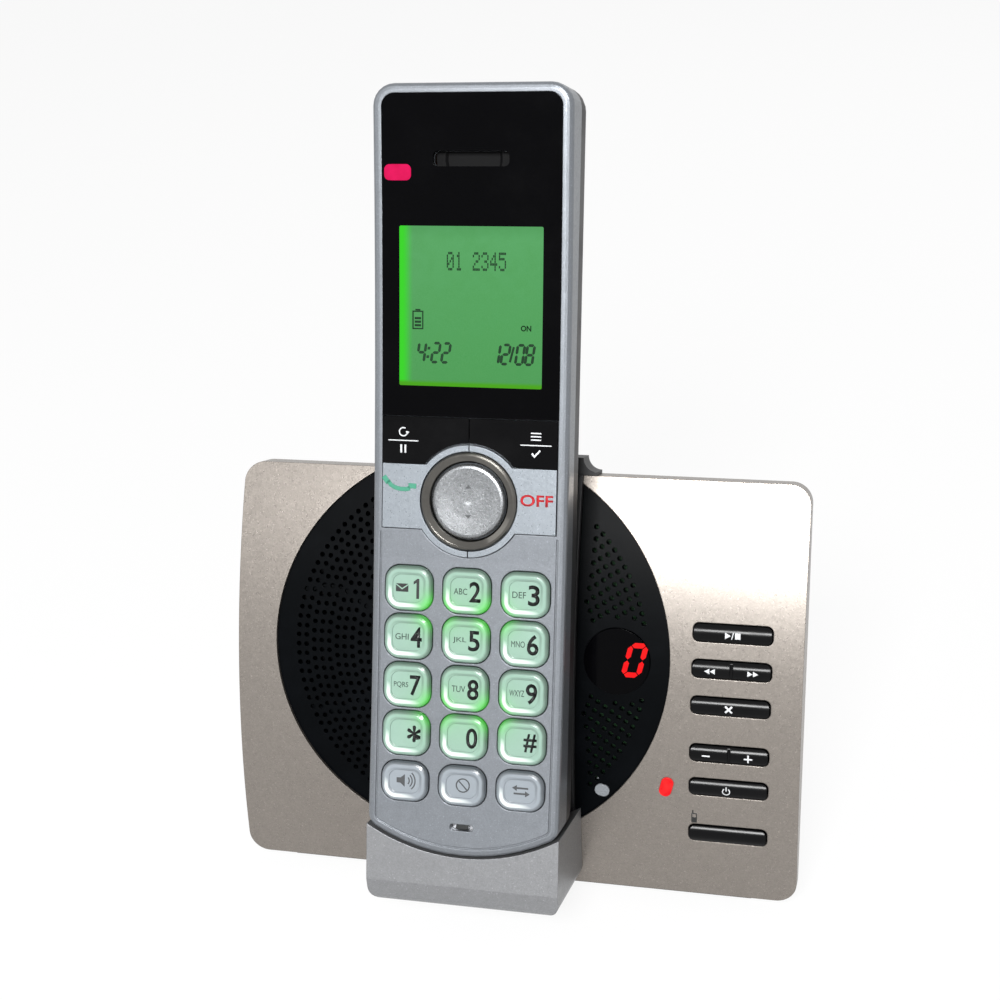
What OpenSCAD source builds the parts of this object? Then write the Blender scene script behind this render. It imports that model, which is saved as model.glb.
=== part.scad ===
// Cordless telephone handset docked in a leaned-back answering-system base.
// Panel pieces are drawn in the panel frame: X right, -Y out of the panel, Z up along it.
// Handset pieces are drawn in the handset frame: origin at the middle of its bottom end,
// Y depth behind the middle of its face, Z along the handset.

/* [Base panel] */
// Width of the base panel
panel_w = 140.8; // [134:0.2:150]
// Height of the panel, measured along it
panel_h = 102.2; // [98:0.2:110]
// Corner radius of the panel
panel_corner = 5; // [3:0.5:7]
// Radius of the panel's bow from its top to its bottom
bow_r = 194; // [170:2:260]
// Height of the line where the bow stands furthest forward
bow_peak = 56; // [50:1:62]
// Wall thickness of the panel shell
panel_wall = 2.4; // [1.8:0.1:2.8]
// Depth of the shell's flat back edge behind the furthest forward line
panel_depth = 12; // [11:0.5:15]
// Angle by which panel and handset lean back
lean = 18; // [12:1:24]
// Height of the panel's lower front edge plane above the table
panel_lift = 6.6; // [6:0.2:12]

/* [Speaker grille] */
// Radius of the round grille
grille_r = 49.6; // [46:0.2:52]
// Sideways place of the grille's centre
grille_x = -10.6; // [-14:0.2:-6]
// Height of the grille's centre along the panel
grille_z = 58.4; // [54:0.2:62]
// Thickness of the grille plate
grille_t = 1.8; // [1.2:0.1:2.4]
// Depth of the grille's face below the panel
grille_sink = 0.8; // [0.4:0.1:1.2]
// Width of the plain rim round the holes
grille_rim = 5; // [3:0.5:7]
// Radius of one sound hole
hole_r = 0.62; // [0.4:0.02:0.75]
// Distance between neighbouring rings of holes
ring_step = 2; // [1.9:0.1:3]
// Distance between neighbouring holes along a ring
hole_pitch = 2.35; // [2.2:0.05:3]

/* [Handset] */
// Width of the handset
hand_w = 46; // [44:0.5:50]
// Length of the handset
hand_l = 177; // [170:1:185]
// Thickness of the handset
hand_t = 26; // [24:0.5:30]
// Radius of the arc at the handset's lower end
hand_end_r = 45; // [38:1:60]
// Radius of the two lower corners
hand_low_corner = 3.6; // [3.4:0.1:5]
// Radius of the two upper corners
hand_top_corner = 5; // [3.6:0.2:8]
// Radius of the shallow hollow that runs along the face
face_r = 1250; // [900:50:2000]
// Radius of the rounded edge round the face
face_edge = 1.5; // [0.8:0.1:2]
// Depth at which the front and back shells meet
split_y = 11; // [10:0.5:13]
// How far the back face is drawn in from the handset's outline
back_taper = 8.8; // [8:0.2:10]
// Wall thickness of the handset's shells
hand_wall = 2.2; // [1.8:0.1:2.6]
// Wall thickness behind the function keys
deck_wall = 3.4; // [3.2:0.1:4]
// Width of the silver rim round the lens and the keypad
rim_w = 2.3; // [1.8:0.1:3]

/* [Docking] */
// Sideways place of the handset's centre line
dock_x = -5.4; // [-8:0.2:-3]
// Height of the handset's lower end along the panel
dock_z = 14.7; // [13:0.1:18]
// How far the handset's face stands forward of the panel
face_out = 21; // [18:0.5:23]
// Clearance between the handset's back and the channel floor
back_gap = 0.3; // [0.2:0.05:0.6]
// Clearance between the handset's lower end and its seat
seat_gap = 0.5; // [0.3:0.05:0.8]
// Half width of the channel between its side walls
channel_half = 20.5; // [19.8:0.1:21]
// Wall thickness of the channel
channel_wall = 1; // [0.8:0.1:1.4]
// Height by which the channel's head stands over the panel's top edge
head_h = 4.2; // [3:0.2:7]
// Radius of the flare where the head meets the panel
head_flare = 3.4; // [2:0.2:5]
// Width of the chin that carries the handset
chin_w = 46.4; // [44:0.2:47]
// Height of the chin's underside above the panel's lower edge
chin_low = 1; // [0.5:0.1:2]
// How far the chin's front face stands forward of the handset's face
chin_out = 2.4; // [1:0.1:4]
// Sideways distance of a charging contact from the handset's centre line
contact_x = 9; // [7:0.5:12]
// Depth of the charging contacts behind the handset's face
contact_y = 8; // [7.6:0.1:8.4]

/* [Keypad] */
// Sideways distance between dial keys
key_px = 13.86; // [13.4:0.02:14.4]
// Distance between rows of dial keys
key_pz = 11.4; // [11.2:0.02:12]
// Height of the top row's centre on the handset
key_top_z = 62.6; // [60:0.2:66]
// Width of a dial key
key_w = 11.4; // [10:0.1:11.6]
// Height of a dial key
key_h = 10.5; // [9:0.1:10.6]
// Height of a key in the bottom row
low_key_h = 9.4; // [8.6:0.1:10.2]
// Corner radius of a dial key
key_corner = 3.6; // [2.5:0.1:4]
// How far a dial key stands out of the face
key_proud = 1; // [0.6:0.1:1.4]
// Clearance round every key
key_gap = 0.22; // [0.15:0.01:0.25]
// Travel of a handset key
key_travel = 0.5; // [0.3:0.05:0.6]

/* [Function keys] */
// Height of the round rocker's centre on the handset
nav_z = 83.4; // [81:0.2:86]
// Outer radius of the bright ring round the rocker
nav_ring_r = 11.3; // [10.6:0.1:11.8]
// Radius of the round rocker
nav_r = 8.6; // [8:0.1:9]
// Half of the field that the function keys fill
field_x = 20.5; // [19:0.1:21]
// Upper edge of the function keys
field_top = 102.4; // [100:0.2:104]
// Lower edge of the function keys at the sides
field_low = 76.6; // [74:0.2:78]
// Height of the edge between soft keys and call keys at the sides
field_mid = 91.6; // [90:0.2:94]
// Depth of the well in which the function keys lie
well = 2; // [1.8:0.1:2.2]

/* [Display] */
// Height of the display's centre on the handset
lcd_z = 127.6; // [125:0.2:130]
// Width of the display window
lcd_w = 33.3; // [31:0.1:35]
// Height of the display window
lcd_h = 36; // [33:0.1:38]
// Upper edge of the black lens, measured down from the handset's top
lens_drop = 2.3; // [2:0.1:4]
// Thickness of the lens
lens_t = 1.2; // [0.8:0.1:1.4]
// Height of the earpiece slot's centre
ear_z = 160.4; // [158:0.2:163]
// Width of the earpiece slot
ear_w = 17.6; // [14:0.2:20]
// Height of the earpiece slot
ear_h = 3.4; // [2.6:0.2:4.4]
// Sideways place of the charge light
lamp_x = -17; // [-18:0.2:-15]
// Height of the charge light
lamp_z = 157.4; // [155:0.2:160]

/* [Base keys] */
// Sideways place of the base keys
bar_x = 53.7; // [52:0.1:56]
// Width of a base key
bar_w = 18.4; // [16:0.2:20]
// Height of a base key
bar_h = 4.1; // [3.4:0.1:4.6]
// Heights of the base keys, from the play key down to the handset finder
bar_z = [66.8, 58.1, 49.2, 37.4, 28.8, 16.7];
// How far a base key stands out of the panel
bar_proud = 1.1; // [0.6:0.1:1.6]
// Clearance round a base key
bar_gap = 0.3; // [0.2:0.02:0.4]
// Travel of a base key
bar_travel = 0.6; // [0.4:0.05:0.8]
// Sideways place of the message counter
count_x = 26.2; // [24:0.2:28]
// Height of the message counter
count_z = 58.3; // [56:0.2:60]
// Radius of the message counter's window
count_r = 8; // [7:0.1:9]

/* [Rear housing] */
// Depth of the housing along the table, behind the panel's lower edge
house_d = 72; // [66:1:80]
// Half width of the housing where it meets the panel
house_half = 64; // [58:0.5:66]
// Half width of the housing at its rear
house_rear_half = 47; // [42:0.5:56]
// Height of the housing's rear wall
house_rear_h = 20; // [18:0.5:26]
// Height along the panel at which the housing's slope ends
house_top = 95; // [88:0.5:97]
// Wall thickness of the housing
house_wall = 2.2; // [1.8:0.1:2.6]
// Corner radius of the housing's rear corners
house_corner = 8; // [5:0.5:12]
// Radius of a rubber foot
foot_r = 5; // [4:0.2:6]
// Height of a rubber foot below the housing
foot_h = 1.5; // [1:0.1:2]
// Width of the telephone line socket
socket_w = 10; // [9.6:0.1:11]
// Height of the telephone line socket
socket_h = 7.2; // [6.6:0.1:8]
// Depth of the telephone line socket
socket_d = 11; // [9:0.5:12]
// Radius of the power plug's bore
power_r = 2.8; // [2.4:0.1:3]

/* [Hidden] */
eps = 0.02;
fit = 0.05;
silver = [0.66, 0.67, 0.69];
black = [0.05, 0.05, 0.06];
metal = [0.82, 0.79, 0.7];

// Shared helpers

$fn = 48;
fine = 720;
half = hand_w / 2;
face_mid = hand_l / 2;
board_y = 10;
board_t = 1.4;
floor_y = hand_t - face_out + back_gap;
channel_out = channel_half + channel_wall;
channel_low = grille_z - grille_r - 0.4;
chin_front = face_out + chin_out;
bow_cut = 4;

// Depth of the panel's face behind its most forward line, and its slope there
function bow_y(z) = bow_r - sqrt(bow_r * bow_r - pow(z - bow_peak, 2));
function bow_tilt(z) = asin((z - bow_peak) / bow_r);
// Depth of the handset's face at a height, and its slope there
function face_y(z) = sqrt(face_r * face_r - pow(z - face_mid, 2)) - face_r;
function face_tilt(z) = asin((z - face_mid) / face_r);
// Points of an arc, in n steps
function arc(cx, cz, r, a0, a1, n) =
    [for (i = [0 : n]) [cx + r * cos(a0 + (a1 - a0) * i / n), cz + r * sin(a0 + (a1 - a0) * i / n)]];
// A point of the panel frame seen from the side, in the frame of the table
function on_table(y, z) =
    [y * cos(lean) + z * sin(lean), panel_lift + z * cos(lean) - y * sin(lean)];

// Side view of the chin, front and underside
chin_side = concat(
    [[-chin_front, dock_z + 9], [-chin_front, chin_low + 6]],
    arc(-chin_front + 5, chin_low + 4, 4, 195, 270, 6),
    [[panel_depth, chin_low], [panel_depth, dock_z + 9]]
);
front_y = min([for (p = chin_side) on_table(p[0], p[1])[0]]);
mid_y = (front_y + house_d) / 2;

module at_table() {
    translate([0, -mid_y, 0])
        children();
}

module in_panel() {
    translate([0, -mid_y, panel_lift])
        rotate([-lean, 0, 0])
            children();
}

module in_hand() {
    in_panel()
        translate([dock_x, -face_out, dock_z])
            children();
}

// A plate drawn in X and Z, from depth y0 to depth y1
module slab(y0, y1) {
    translate([0, y1, 0])
        rotate([90, 0, 0])
            linear_extrude(y1 - y0)
                children();
}

// A side view drawn in Y and Z, as wide as w
module across(w) {
    translate([-w / 2, 0, 0])
        rotate([90, 0, 90])
            linear_extrude(w)
                children();
}

module round_rect(w, h, r) {
    square([w - 2 * r, h], center = true);
    square([w, h - 2 * r], center = true);
    for (sx = [-1, 1], sz = [-1, 1])
        translate([sx * (w / 2 - r), sz * (h / 2 - r)])
            circle(r);
}

// Everything behind the panel's bowed face, with the face moved out by a distance
module bow_solid(out) {
    translate([-panel_w, bow_r, bow_peak])
        rotate([0, 90, 0])
            cylinder(r = bow_r + out, h = 2 * panel_w, $fn = fine);
}

module at_bow(x, z) {
    translate([x, bow_y(z), z])
        rotate([-bow_tilt(z), 0, 0])
            children();
}

// Everything in front of the handset's hollow face, down to a depth below it
module face_solid(depth) {
    translate([-hand_w, -face_r, face_mid])
        rotate([0, 90, 0])
            cylinder(r = face_r + depth, h = 2 * hand_w, $fn = fine);
}

module at_face(x, z) {
    translate([x, face_y(z), z])
        rotate([face_tilt(z), 0, 0])
            children();
}

// A piece of the handset's face between two depths, cut to an outline
module face_sheet(d0, d1) {
    difference() {
        intersection() {
            slab(-8, hand_t)
                children();
            face_solid(d1);
        }
        face_solid(d0);
    }
}

// Right half of the handset's outline, drawn in by a distance
function half_outline(t) =
    let (
        w = half - t,
        r1 = max(hand_low_corner - t, 1.2),
        r2 = max(hand_top_corner - t, 1.2),
        re = hand_end_r - t,
        cz = hand_end_r - sqrt(pow(re - r1, 2) - pow(w - r1, 2)),
        a1 = atan2(cz - hand_end_r, w - r1),
        z1 = hand_l - t - r2,
        steps = 8
    )
    concat(
        [for (i = [0 : 6]) let (a = -90 + (a1 + 90) * i / 6) [re * cos(a), hand_end_r + re * sin(a)]],
        [for (i = [1 : 4]) let (a = a1 * (1 - i / 4)) [w - r1 + r1 * cos(a), cz + r1 * sin(a)]],
        [for (i = [1 : steps - 1]) [w, cz + (z1 - cz) * i / steps]],
        arc(w - r2, z1, r2, 0, 90, 6)
    );
function mirrored(list) = [for (i = [len(list) - 1 : -1 : 1]) [-list[i][0], list[i][1]]];
function outline(t) = concat(half_outline(t), mirrored(half_outline(t)));

// A solid through rings of the handset's outline. Each layer is [drawn in, depth, 1 if it follows the face]
module lofted(layers) {
    n = len(half_outline(0));
    m = 2 * n - 1;
    last = (len(layers) - 1) * m;
    points = [for (l = layers, p = outline(l[0])) [p[0], l[1] + l[2] * face_y(p[1]), p[1]]];
    sides = [for (k = [0 : len(layers) - 2], i = [0 : m - 1]) let (j = (i + 1) % m)
        each [[k * m + i, k * m + j, (k + 1) * m + j], [k * m + i, (k + 1) * m + j, (k + 1) * m + i]]];
    front = [for (i = [1 : n - 2]) each [[i, m - i, i + 1], [m - i, m - i - 1, i + 1]]];
    back = [for (f = front) [last + f[0], last + f[2], last + f[1]]];
    polyhedron(
        points,
        concat(sides, front, back, [[0, m - 1, 1]], [[last, last + 1, last + m - 1]]),
        convexity = 4
    );
}

// Base panel and grille

module grille_field(out) {
    intersection() {
        translate([grille_x, grille_z])
            circle(grille_r + out, $fn = 180);
        translate([-panel_w / 2, 0])
            square([panel_w, panel_h + out]);
    }
}

module channel_band(out) {
    translate([dock_x - channel_out - out, channel_low - out])
        square([2 * (channel_out + out), panel_h]);
}

module bar_window(i) {
    at_bow(bar_x, bar_z[i])
        slab(-bow_cut, panel_wall + bow_cut)
            round_rect(bar_w + 2 * bar_gap, bar_h + 2 * bar_gap, bar_corner + bar_gap);
}

module oval(w, h) {
    round_rect(w, h, min(w, h) / 2 - 0.05);
}

post_r = 2.6;
bar_corner = 1.3;
post_spots = [[59, 9.6], [59, 90], [36, 9.6], [38, 92]];
answer_x = 38.8;
answer_z = 28;
answer_w = 2.9;
answer_h = 4.8;
in_use_angle = -44.5;
in_use_w = 3.6;
in_use_h = 3;
in_use_x = grille_x + (grille_r - grille_rim / 2) * cos(in_use_angle);
in_use_z = grille_z + (grille_r - grille_rim / 2) * sin(in_use_angle);
light_slant = -14;

module faceplate() color(silver) in_panel() {
    difference() {
        intersection() {
            slab(-bow_cut, panel_depth)
                translate([0, panel_h / 2])
                    round_rect(panel_w, panel_h, panel_corner);
            bow_solid(0);
        }
        intersection() {
            slab(-bow_cut, panel_depth + 1)
                translate([0, panel_h / 2])
                    round_rect(panel_w - 2 * panel_wall, panel_h - 2 * panel_wall, panel_corner - panel_wall);
            bow_solid(-panel_wall);
        }
        slab(-bow_cut, 8.6)
            grille_field(2 * fit);
        slab(-bow_cut, panel_depth + 1)
            channel_band(2 * fit);
        for (i = [0 : 5])
            bar_window(i);
        at_bow(answer_x, answer_z)
            slab(-bow_cut, panel_wall + bow_cut)
                rotate(light_slant)
                    oval(answer_w + 2 * fit, answer_h + 2 * fit);
    }
    for (p = post_spots)
        intersection() {
            slab(-bow_cut, board_y)
                translate(p)
                    circle(post_r);
            bow_solid(-panel_wall / 2);
        }
}

speaker_x = -47.8;
speaker_z = 56;
speaker_r = 15;
speaker_y = grille_sink + grille_t + 1;
speaker_ring = 1.3;
window_gap = 0.12;

// Rings of sound holes that leave a plain rim, the channel and the counter's window free
module sound_holes() {
    rings = floor((grille_r - grille_rim) / ring_step);
    for (k = [4 : rings]) {
        r = k * ring_step;
        count = floor(360 / (360 * hole_pitch / (2 * PI * r)));
        for (i = [0 : count - 1]) {
            a = 360 * (i + (k % 2) / 2) / count;
            x = grille_x + r * cos(a);
            z = grille_z + r * sin(a);
            if (abs(x - dock_x) > channel_out + 2.2
                && z < panel_h - 3
                && norm([x - count_x, z - count_z]) > count_r + 1.8)
                translate([x, z])
                    circle(hole_r, $fn = 16);
        }
    }
}

module speaker_collar() {
    translate([speaker_x, speaker_z])
        difference() {
            circle(speaker_r + 2 * fit + speaker_ring);
            circle(speaker_r + 2 * fit);
        }
}

module speaker_grille() color(black) in_panel() {
    difference() {
        intersection() {
            slab(-bow_cut, panel_depth)
                difference() {
                    grille_field(0);
                    channel_band(4 * fit);
                    translate([count_x, count_z])
                        circle(count_r + window_gap, $fn = 96);
                }
            bow_solid(-grille_sink);
        }
        bow_solid(-grille_sink - grille_t);
        slab(-bow_cut, panel_depth)
            sound_holes();
        at_bow(in_use_x, in_use_z)
            slab(-bow_cut, bow_cut)
                rotate(light_slant)
                    oval(in_use_w + 2 * fit, in_use_h + 2 * fit);
    }
    intersection() {
        slab(-bow_cut, speaker_y + 5)
            speaker_collar();
        bow_solid(-panel_wall - 0.5);
    }
    intersection() {
        slab(-bow_cut, speaker_y + 5)
            intersection() {
                speaker_collar();
                grille_field(-1);
            }
        bow_solid(-grille_sink - grille_t / 2);
    }
}

module base_speaker() color(black) in_panel()
    translate([speaker_x, speaker_y, speaker_z])
        rotate([-90, 0, 0])
            rotate_extrude($fn = 96)
                polygon([
                    [0, 2.4], [3.4, 3.1], [11.4, 0.6], [12.6, 1.2], [13.6, 0.2], [speaker_r, 0.2],
                    [speaker_r, 2.2], [13.6, 2.8], [9, 5.2], [9, 8], [0, 8]
                ]);

head_foot = panel_h + fit;
channel_out_of_face = 0.9;
chin_top = dock_z + hand_end_r - sqrt(pow(hand_end_r + seat_gap, 2) - pow(chin_w / 2, 2));

// The channel's side walls from a height up, standing out of the panel's face by a distance
module channel_walls(low, out) {
    for (s = [-1, 1])
        intersection() {
            slab(-bow_cut, floor_y + 2)
                translate([s * (channel_half + channel_wall / 2) - channel_wall / 2, low])
                    square([channel_wall, panel_h - low + fit]);
            bow_solid(out);
        }
}

// Black channel behind the handset, with a head that flares out over the panel's top edge
module handset_channel() color(black) in_panel()
    translate([dock_x, 0, 0]) {
        intersection() {
            slab(floor_y, floor_y + 2)
                translate([-channel_out, channel_low])
                    square([2 * channel_out, panel_h - channel_low + fit]);
            bow_solid(0);
        }
        channel_walls(channel_low, 0);
        channel_walls(chin_top + 2 * fit, channel_out_of_face);
        slab(floor_y, panel_depth)
            difference() {
                translate([-channel_out - head_flare, head_foot])
                    square([2 * (channel_out + head_flare), head_h]);
                for (s = [-1, 1]) {
                    translate([s * (channel_out + head_flare), head_foot + 0.8 + head_flare])
                        circle(head_flare, $fn = 64);
                    translate([s * (channel_out + head_flare) - head_flare, head_foot + 0.8 + head_flare])
                        square([2 * head_flare, head_h]);
                }
            }
    }

seat_z = dock_z + hand_end_r;
seat_r = hand_end_r + seat_gap;
chin_wall = 2.4;
chin_corner = 3.8;

// Front view of the chin: straight sides, rounded foot and the arc that the handset stands on
module chin_front_view(inset) {
    difference() {
        union() {
            translate([-chin_w / 2 + inset, chin_low + chin_corner])
                square([chin_w - 2 * inset, dock_z + 9 - chin_low - chin_corner]);
            translate([0, chin_low + chin_corner])
                round_rect(chin_w - 2 * inset, 2 * (chin_corner - inset), chin_corner - inset - eps);
        }
        translate([0, seat_z])
            circle(seat_r + inset, $fn = 180);
    }
}

slot_w = 3.6;
slot_d = 4.6;

module cradle_chin() color(silver) in_panel()
    translate([dock_x, 0, 0])
        difference() {
            intersection() {
                slab(-chin_front - 1, panel_depth)
                    chin_front_view(0);
                across(chin_w + 2)
                    polygon(chin_side);
            }
            translate([-dock_x, 0, 0])
                bow_solid(3 * fit);
            slab(-chin_front + chin_wall, panel_depth)
                chin_front_view(chin_wall);
            for (s = [-1, 1])
                slab(-face_out + contact_y - slot_d / 2, -face_out + contact_y + slot_d / 2)
                    translate([s * contact_x - slot_w / 2, chin_low + chin_wall + 1])
                        square([slot_w, dock_z]);
        }

spring_gap = 0.3;
spring_t = 0.6;
spring_foot = 7;
spring_travel = 0.4;
tip_z = seat_z - sqrt(hand_end_r * hand_end_r - contact_x * contact_x) - spring_gap;
spring_low = chin_low + chin_wall + spring_travel + 0.4;

// A sprung charging contact: a bent strip whose head stands through the seat
module charge_spring(side) color(metal) in_panel()
    translate([dock_x + side * contact_x, -face_out + contact_y, 0])
        across(slot_w - 2 * spring_gap)
            union() {
                translate([-slot_d / 2 + spring_gap, tip_z - 1.6])
                    square([slot_d - 2 * spring_gap, 1]);
                translate([0, tip_z - 1.2])
                    round_rect(slot_d - 2 * spring_gap - 0.8, 2.4, 0.8);
                translate([-spring_t / 2, spring_low])
                    square([spring_t, tip_z - 1 - spring_low]);
                translate([-spring_t / 2, spring_low])
                    square([spring_foot, spring_t]);
            }

module charge_spring_left() charge_spring(-1);
module charge_spring_right() charge_spring(1);

module message_window() color(black) in_panel()
    difference() {
        intersection() {
            slab(-bow_cut, panel_depth)
                translate([count_x, count_z])
                    circle(count_r, $fn = 96);
            bow_solid(-0.2);
        }
        bow_solid(-1.8);
    }

module message_display() color([0.2, 0.03, 0.03]) in_panel()
    difference() {
        slab(grille_sink + grille_t + 0.3, board_y)
            translate([count_x, count_z])
                square([12.6, 15], center = true);
        slab(grille_sink + grille_t, grille_sink + grille_t + 0.8)
            translate([count_x, count_z])
                square([8.4, 11.4], center = true);
    }

module light_pipe(w, h, top, wall) {
    slab(top, wall + 1)
        rotate(light_slant)
            oval(w, h);
    slab(wall + 0.3, wall + 1.3)
        rotate(light_slant)
            oval(w + 1.6, h + 1.6);
}

module answer_light() color([0.85, 0.12, 0.1]) in_panel()
    at_bow(answer_x, answer_z)
        light_pipe(answer_w, answer_h, -0.4, panel_wall);

module in_use_light() color([0.6, 0.6, 0.6]) in_panel()
    at_bow(in_use_x, in_use_z)
        light_pipe(in_use_w, in_use_h, grille_sink - 0.4, grille_sink + grille_t);

bar_round = 3.1;
stem_r = 1.5;
stem_room = 1.3;

// A base key: rounded bar, flange behind the panel and stems that reach for the board
module bar_key(i, flange_gap, stems) in_panel()
    at_bow(bar_x, bar_z[i]) {
        difference() {
            intersection() {
                slab(-bar_proud, panel_wall + flange_gap + 0.5)
                    round_rect(bar_w, bar_h, bar_corner);
                translate([-bar_w, bar_round - bar_proud, 0])
                    rotate([0, 90, 0])
                        cylinder(r = bar_round, h = 2 * bar_w, $fn = 96);
            }
            if (len(stems) > 1)
                slab(-bar_proud - 1, -bar_proud + 0.5)
                    square([0.7, bar_h + 1], center = true);
        }
        slab(bar_round - bar_proud - 1, panel_wall + flange_gap + 0.5)
            round_rect(bar_w, bar_h, bar_corner);
        slab(panel_wall + flange_gap, panel_wall + flange_gap + 1)
            round_rect(bar_w + 1.8, bar_h + 1.8, bar_corner);
        slab(panel_wall + flange_gap, board_y - bow_y(bar_z[i]) - stem_room)
            for (x = stems)
                translate([x, 0])
                    circle(stem_r);
    }

module play_stop_key() color(black) bar_key(0, 0.3, [0]);
module skip_rocker() color(black) bar_key(1, 0.9, [-6, 6]);
module erase_key() color(black) bar_key(2, 0.3, [0]);
module volume_rocker() color(black) bar_key(3, 0.9, [-6, 6]);
module answer_on_key() color(black) bar_key(4, 0.3, [0]);
module find_handset_key() color(black) bar_key(5, 0.3, [0]);

// Rear housing, board, sockets and feet

// Side view of the housing, drawn in by its wall
module house_side(t) {
    floor_z = foot_h + t;
    foot_front = (floor_z - panel_lift + panel_depth * sin(lean)) / cos(lean);
    slope_out = 8 - t;
    polygon(concat(
        [on_table(panel_depth - (t > 0 ? 1 : 0), foot_front)],
        arc(house_d - t - 3, floor_z + 3, 3, -90, 0, 5),
        arc(house_d - t - 5, house_rear_h - t, 5, 0, 55, 5),
        [on_table(panel_depth + slope_out, house_top - 2 - t * 1.4)],
        [on_table(panel_depth + slope_out - 5, house_top - t)],
        [on_table(panel_depth - (t > 0 ? 1 : 0), house_top - t)]
    ));
}

// Plan of the housing, drawn in by its wall
module house_plan(t) {
    taper = atan2(house_half - house_rear_half, house_d);
    rear = house_rear_half - t;
    r = house_corner - t;
    right = concat(
        [[house_half - t, -10]],
        arc(rear - r, house_d - t - r, r, taper, 90, 8)
    );
    polygon(concat(right, [for (i = [len(right) - 1 : -1 : 0]) [-right[i][0], right[i][1]]]));
}

module house_form(t) {
    intersection() {
        across(2 * house_half)
            house_side(t);
        linear_extrude(panel_h + panel_lift + 10)
            house_plan(t);
    }
}

socket_x = -24;
power_x = 24;
socket_z = foot_h + house_wall + 2;
socket_wall = 1.5;
power_z = foot_h + house_wall + 6;
power_body_r = 5;
foot_spots = [[-50, 20], [50, 20], [-36, 60], [36, 60]];
foot_recess = 0.6;
screw_spots = [[-48, 34], [48, 34], [-8, 62], [8, 62]];
screw_head_r = 3;
screw_r = 1.4;
boss_r = 4.6;
boss_h = 11;
vent_count = 9;
plate_t = 2;
plate_inset = 1;

// Plate that closes the panel shell from behind
module back_plate() {
    translate([0, 0, panel_lift])
        rotate([-lean, 0, 0])
            slab(panel_depth, panel_depth + plate_t)
                translate([0, panel_h / 2])
                    round_rect(panel_w - 2 * plate_inset, panel_h - 2 * plate_inset, panel_corner);
}

module base_housing() color(black) at_table() {
    difference() {
        union() {
            house_form(0);
            back_plate();
        }
        house_form(house_wall);
        for (p = foot_spots)
            translate([p[0], p[1], -1])
                cylinder(r = foot_r + 2 * fit, h = 1 + foot_h + foot_recess);
        for (p = screw_spots)
            translate([p[0], p[1], -1])
                cylinder(r = boss_r - 1, h = 20);
        translate([socket_x - socket_w / 2 - socket_wall - fit, house_d - 10, socket_z - fit])
            cube([socket_w + 2 * socket_wall + 2 * fit, 20, socket_h + 2 * socket_wall + 2 * fit]);
        translate([power_x, house_d - 10, power_z])
            rotate([-90, 0, 0])
                cylinder(r = power_body_r + fit, h = 20);
        for (i = [0 : vent_count - 1])
            translate([-4 * (vent_count - 1) + 8 * i - 1, house_d - 16, house_rear_h + 12])
                cube([2, 20, 14]);
    }
    for (p = screw_spots)
        translate([p[0], p[1], foot_h + eps])
            difference() {
                cylinder(r = boss_r, h = boss_h);
                translate([0, 0, -1])
                    cylinder(r = screw_head_r + 0.3, h = 3.4);
                translate([0, 0, -1])
                    cylinder(r = screw_r + 2 * fit, h = boss_h + 2);
            }
}

module housing_screws() color(metal) at_table()
    for (p = screw_spots)
        translate([p[0], p[1], foot_h])
            difference() {
                union() {
                    translate([0, 0, 0.6])
                        cylinder(r = screw_head_r, h = 1.8);
                    translate([0, 0, 2])
                        cylinder(r = screw_r, h = boss_h - 3);
                }
                for (a = [0, 90])
                    rotate(a)
                        translate([-1.6, -0.3, 0])
                            cube([3.2, 0.6, 1.4]);
            }

module rubber_feet() color([0.12, 0.12, 0.12]) at_table()
    for (p = foot_spots)
        translate([p[0], p[1], 0])
            rotate_extrude()
                polygon([
                    [0, 0], [foot_r - 0.8, 0], [foot_r - 0.2, 0.5], [foot_r, foot_h],
                    [foot_r, foot_h + foot_recess - fit], [0, foot_h + foot_recess - fit]
                ]);

module line_socket() color([0.2, 0.2, 0.2]) at_table()
    translate([socket_x, house_d, socket_z]) {
        difference() {
            translate([-socket_w / 2 - socket_wall, -socket_d - socket_wall, 0])
                cube([socket_w + 2 * socket_wall, socket_d + socket_wall, socket_h + 2 * socket_wall]);
            translate([-socket_w / 2, -socket_d, socket_wall])
                cube([socket_w, socket_d + 1, socket_h]);
            translate([-1.6, -socket_d, socket_wall - 1])
                cube([3.2, socket_d + 1, 1.5]);
        }
        for (i = [-1.5 : 1 : 1.5])
            translate([i * 1.02 - 0.2, -socket_d - eps, socket_h + socket_wall - 0.9])
                cube([0.4, socket_d - 3, 1]);
    }

module power_socket() color([0.15, 0.15, 0.15]) at_table()
    translate([power_x, house_d, power_z])
        rotate([90, 0, 0])
            rotate_extrude()
                polygon([
                    [0, 10.5], [power_body_r, 10.5], [power_body_r, 0], [power_r + 0.6, 0],
                    [power_r, 0.6], [power_r, 9], [0.95, 9], [0.95, 1.2], [0.6, 0.8], [0, 0.8]
                ]);

module base_board() color([0.1, 0.3, 0.16]) in_panel() {
    slab(board_y, board_y + board_t)
        difference() {
            translate([(17 + 61) / 2, 50.5])
                round_rect(61 - 17, 87, 2);
            translate([22, 90])
                circle(1.6);
        }
    slab(board_y + board_t - eps, board_y + 3.4) {
        translate([34, 46])
            square([12, 12], center = true);
        translate([43, 66])
            square([7, 10], center = true);
        translate([42, 30])
            square([12, 5], center = true);
    }
    slab(board_y + board_t - eps, board_y + 8)
        for (p = [[28, 20], [36, 20], [27, 74]])
            translate(p)
                circle(3);
}

// Handset

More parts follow.
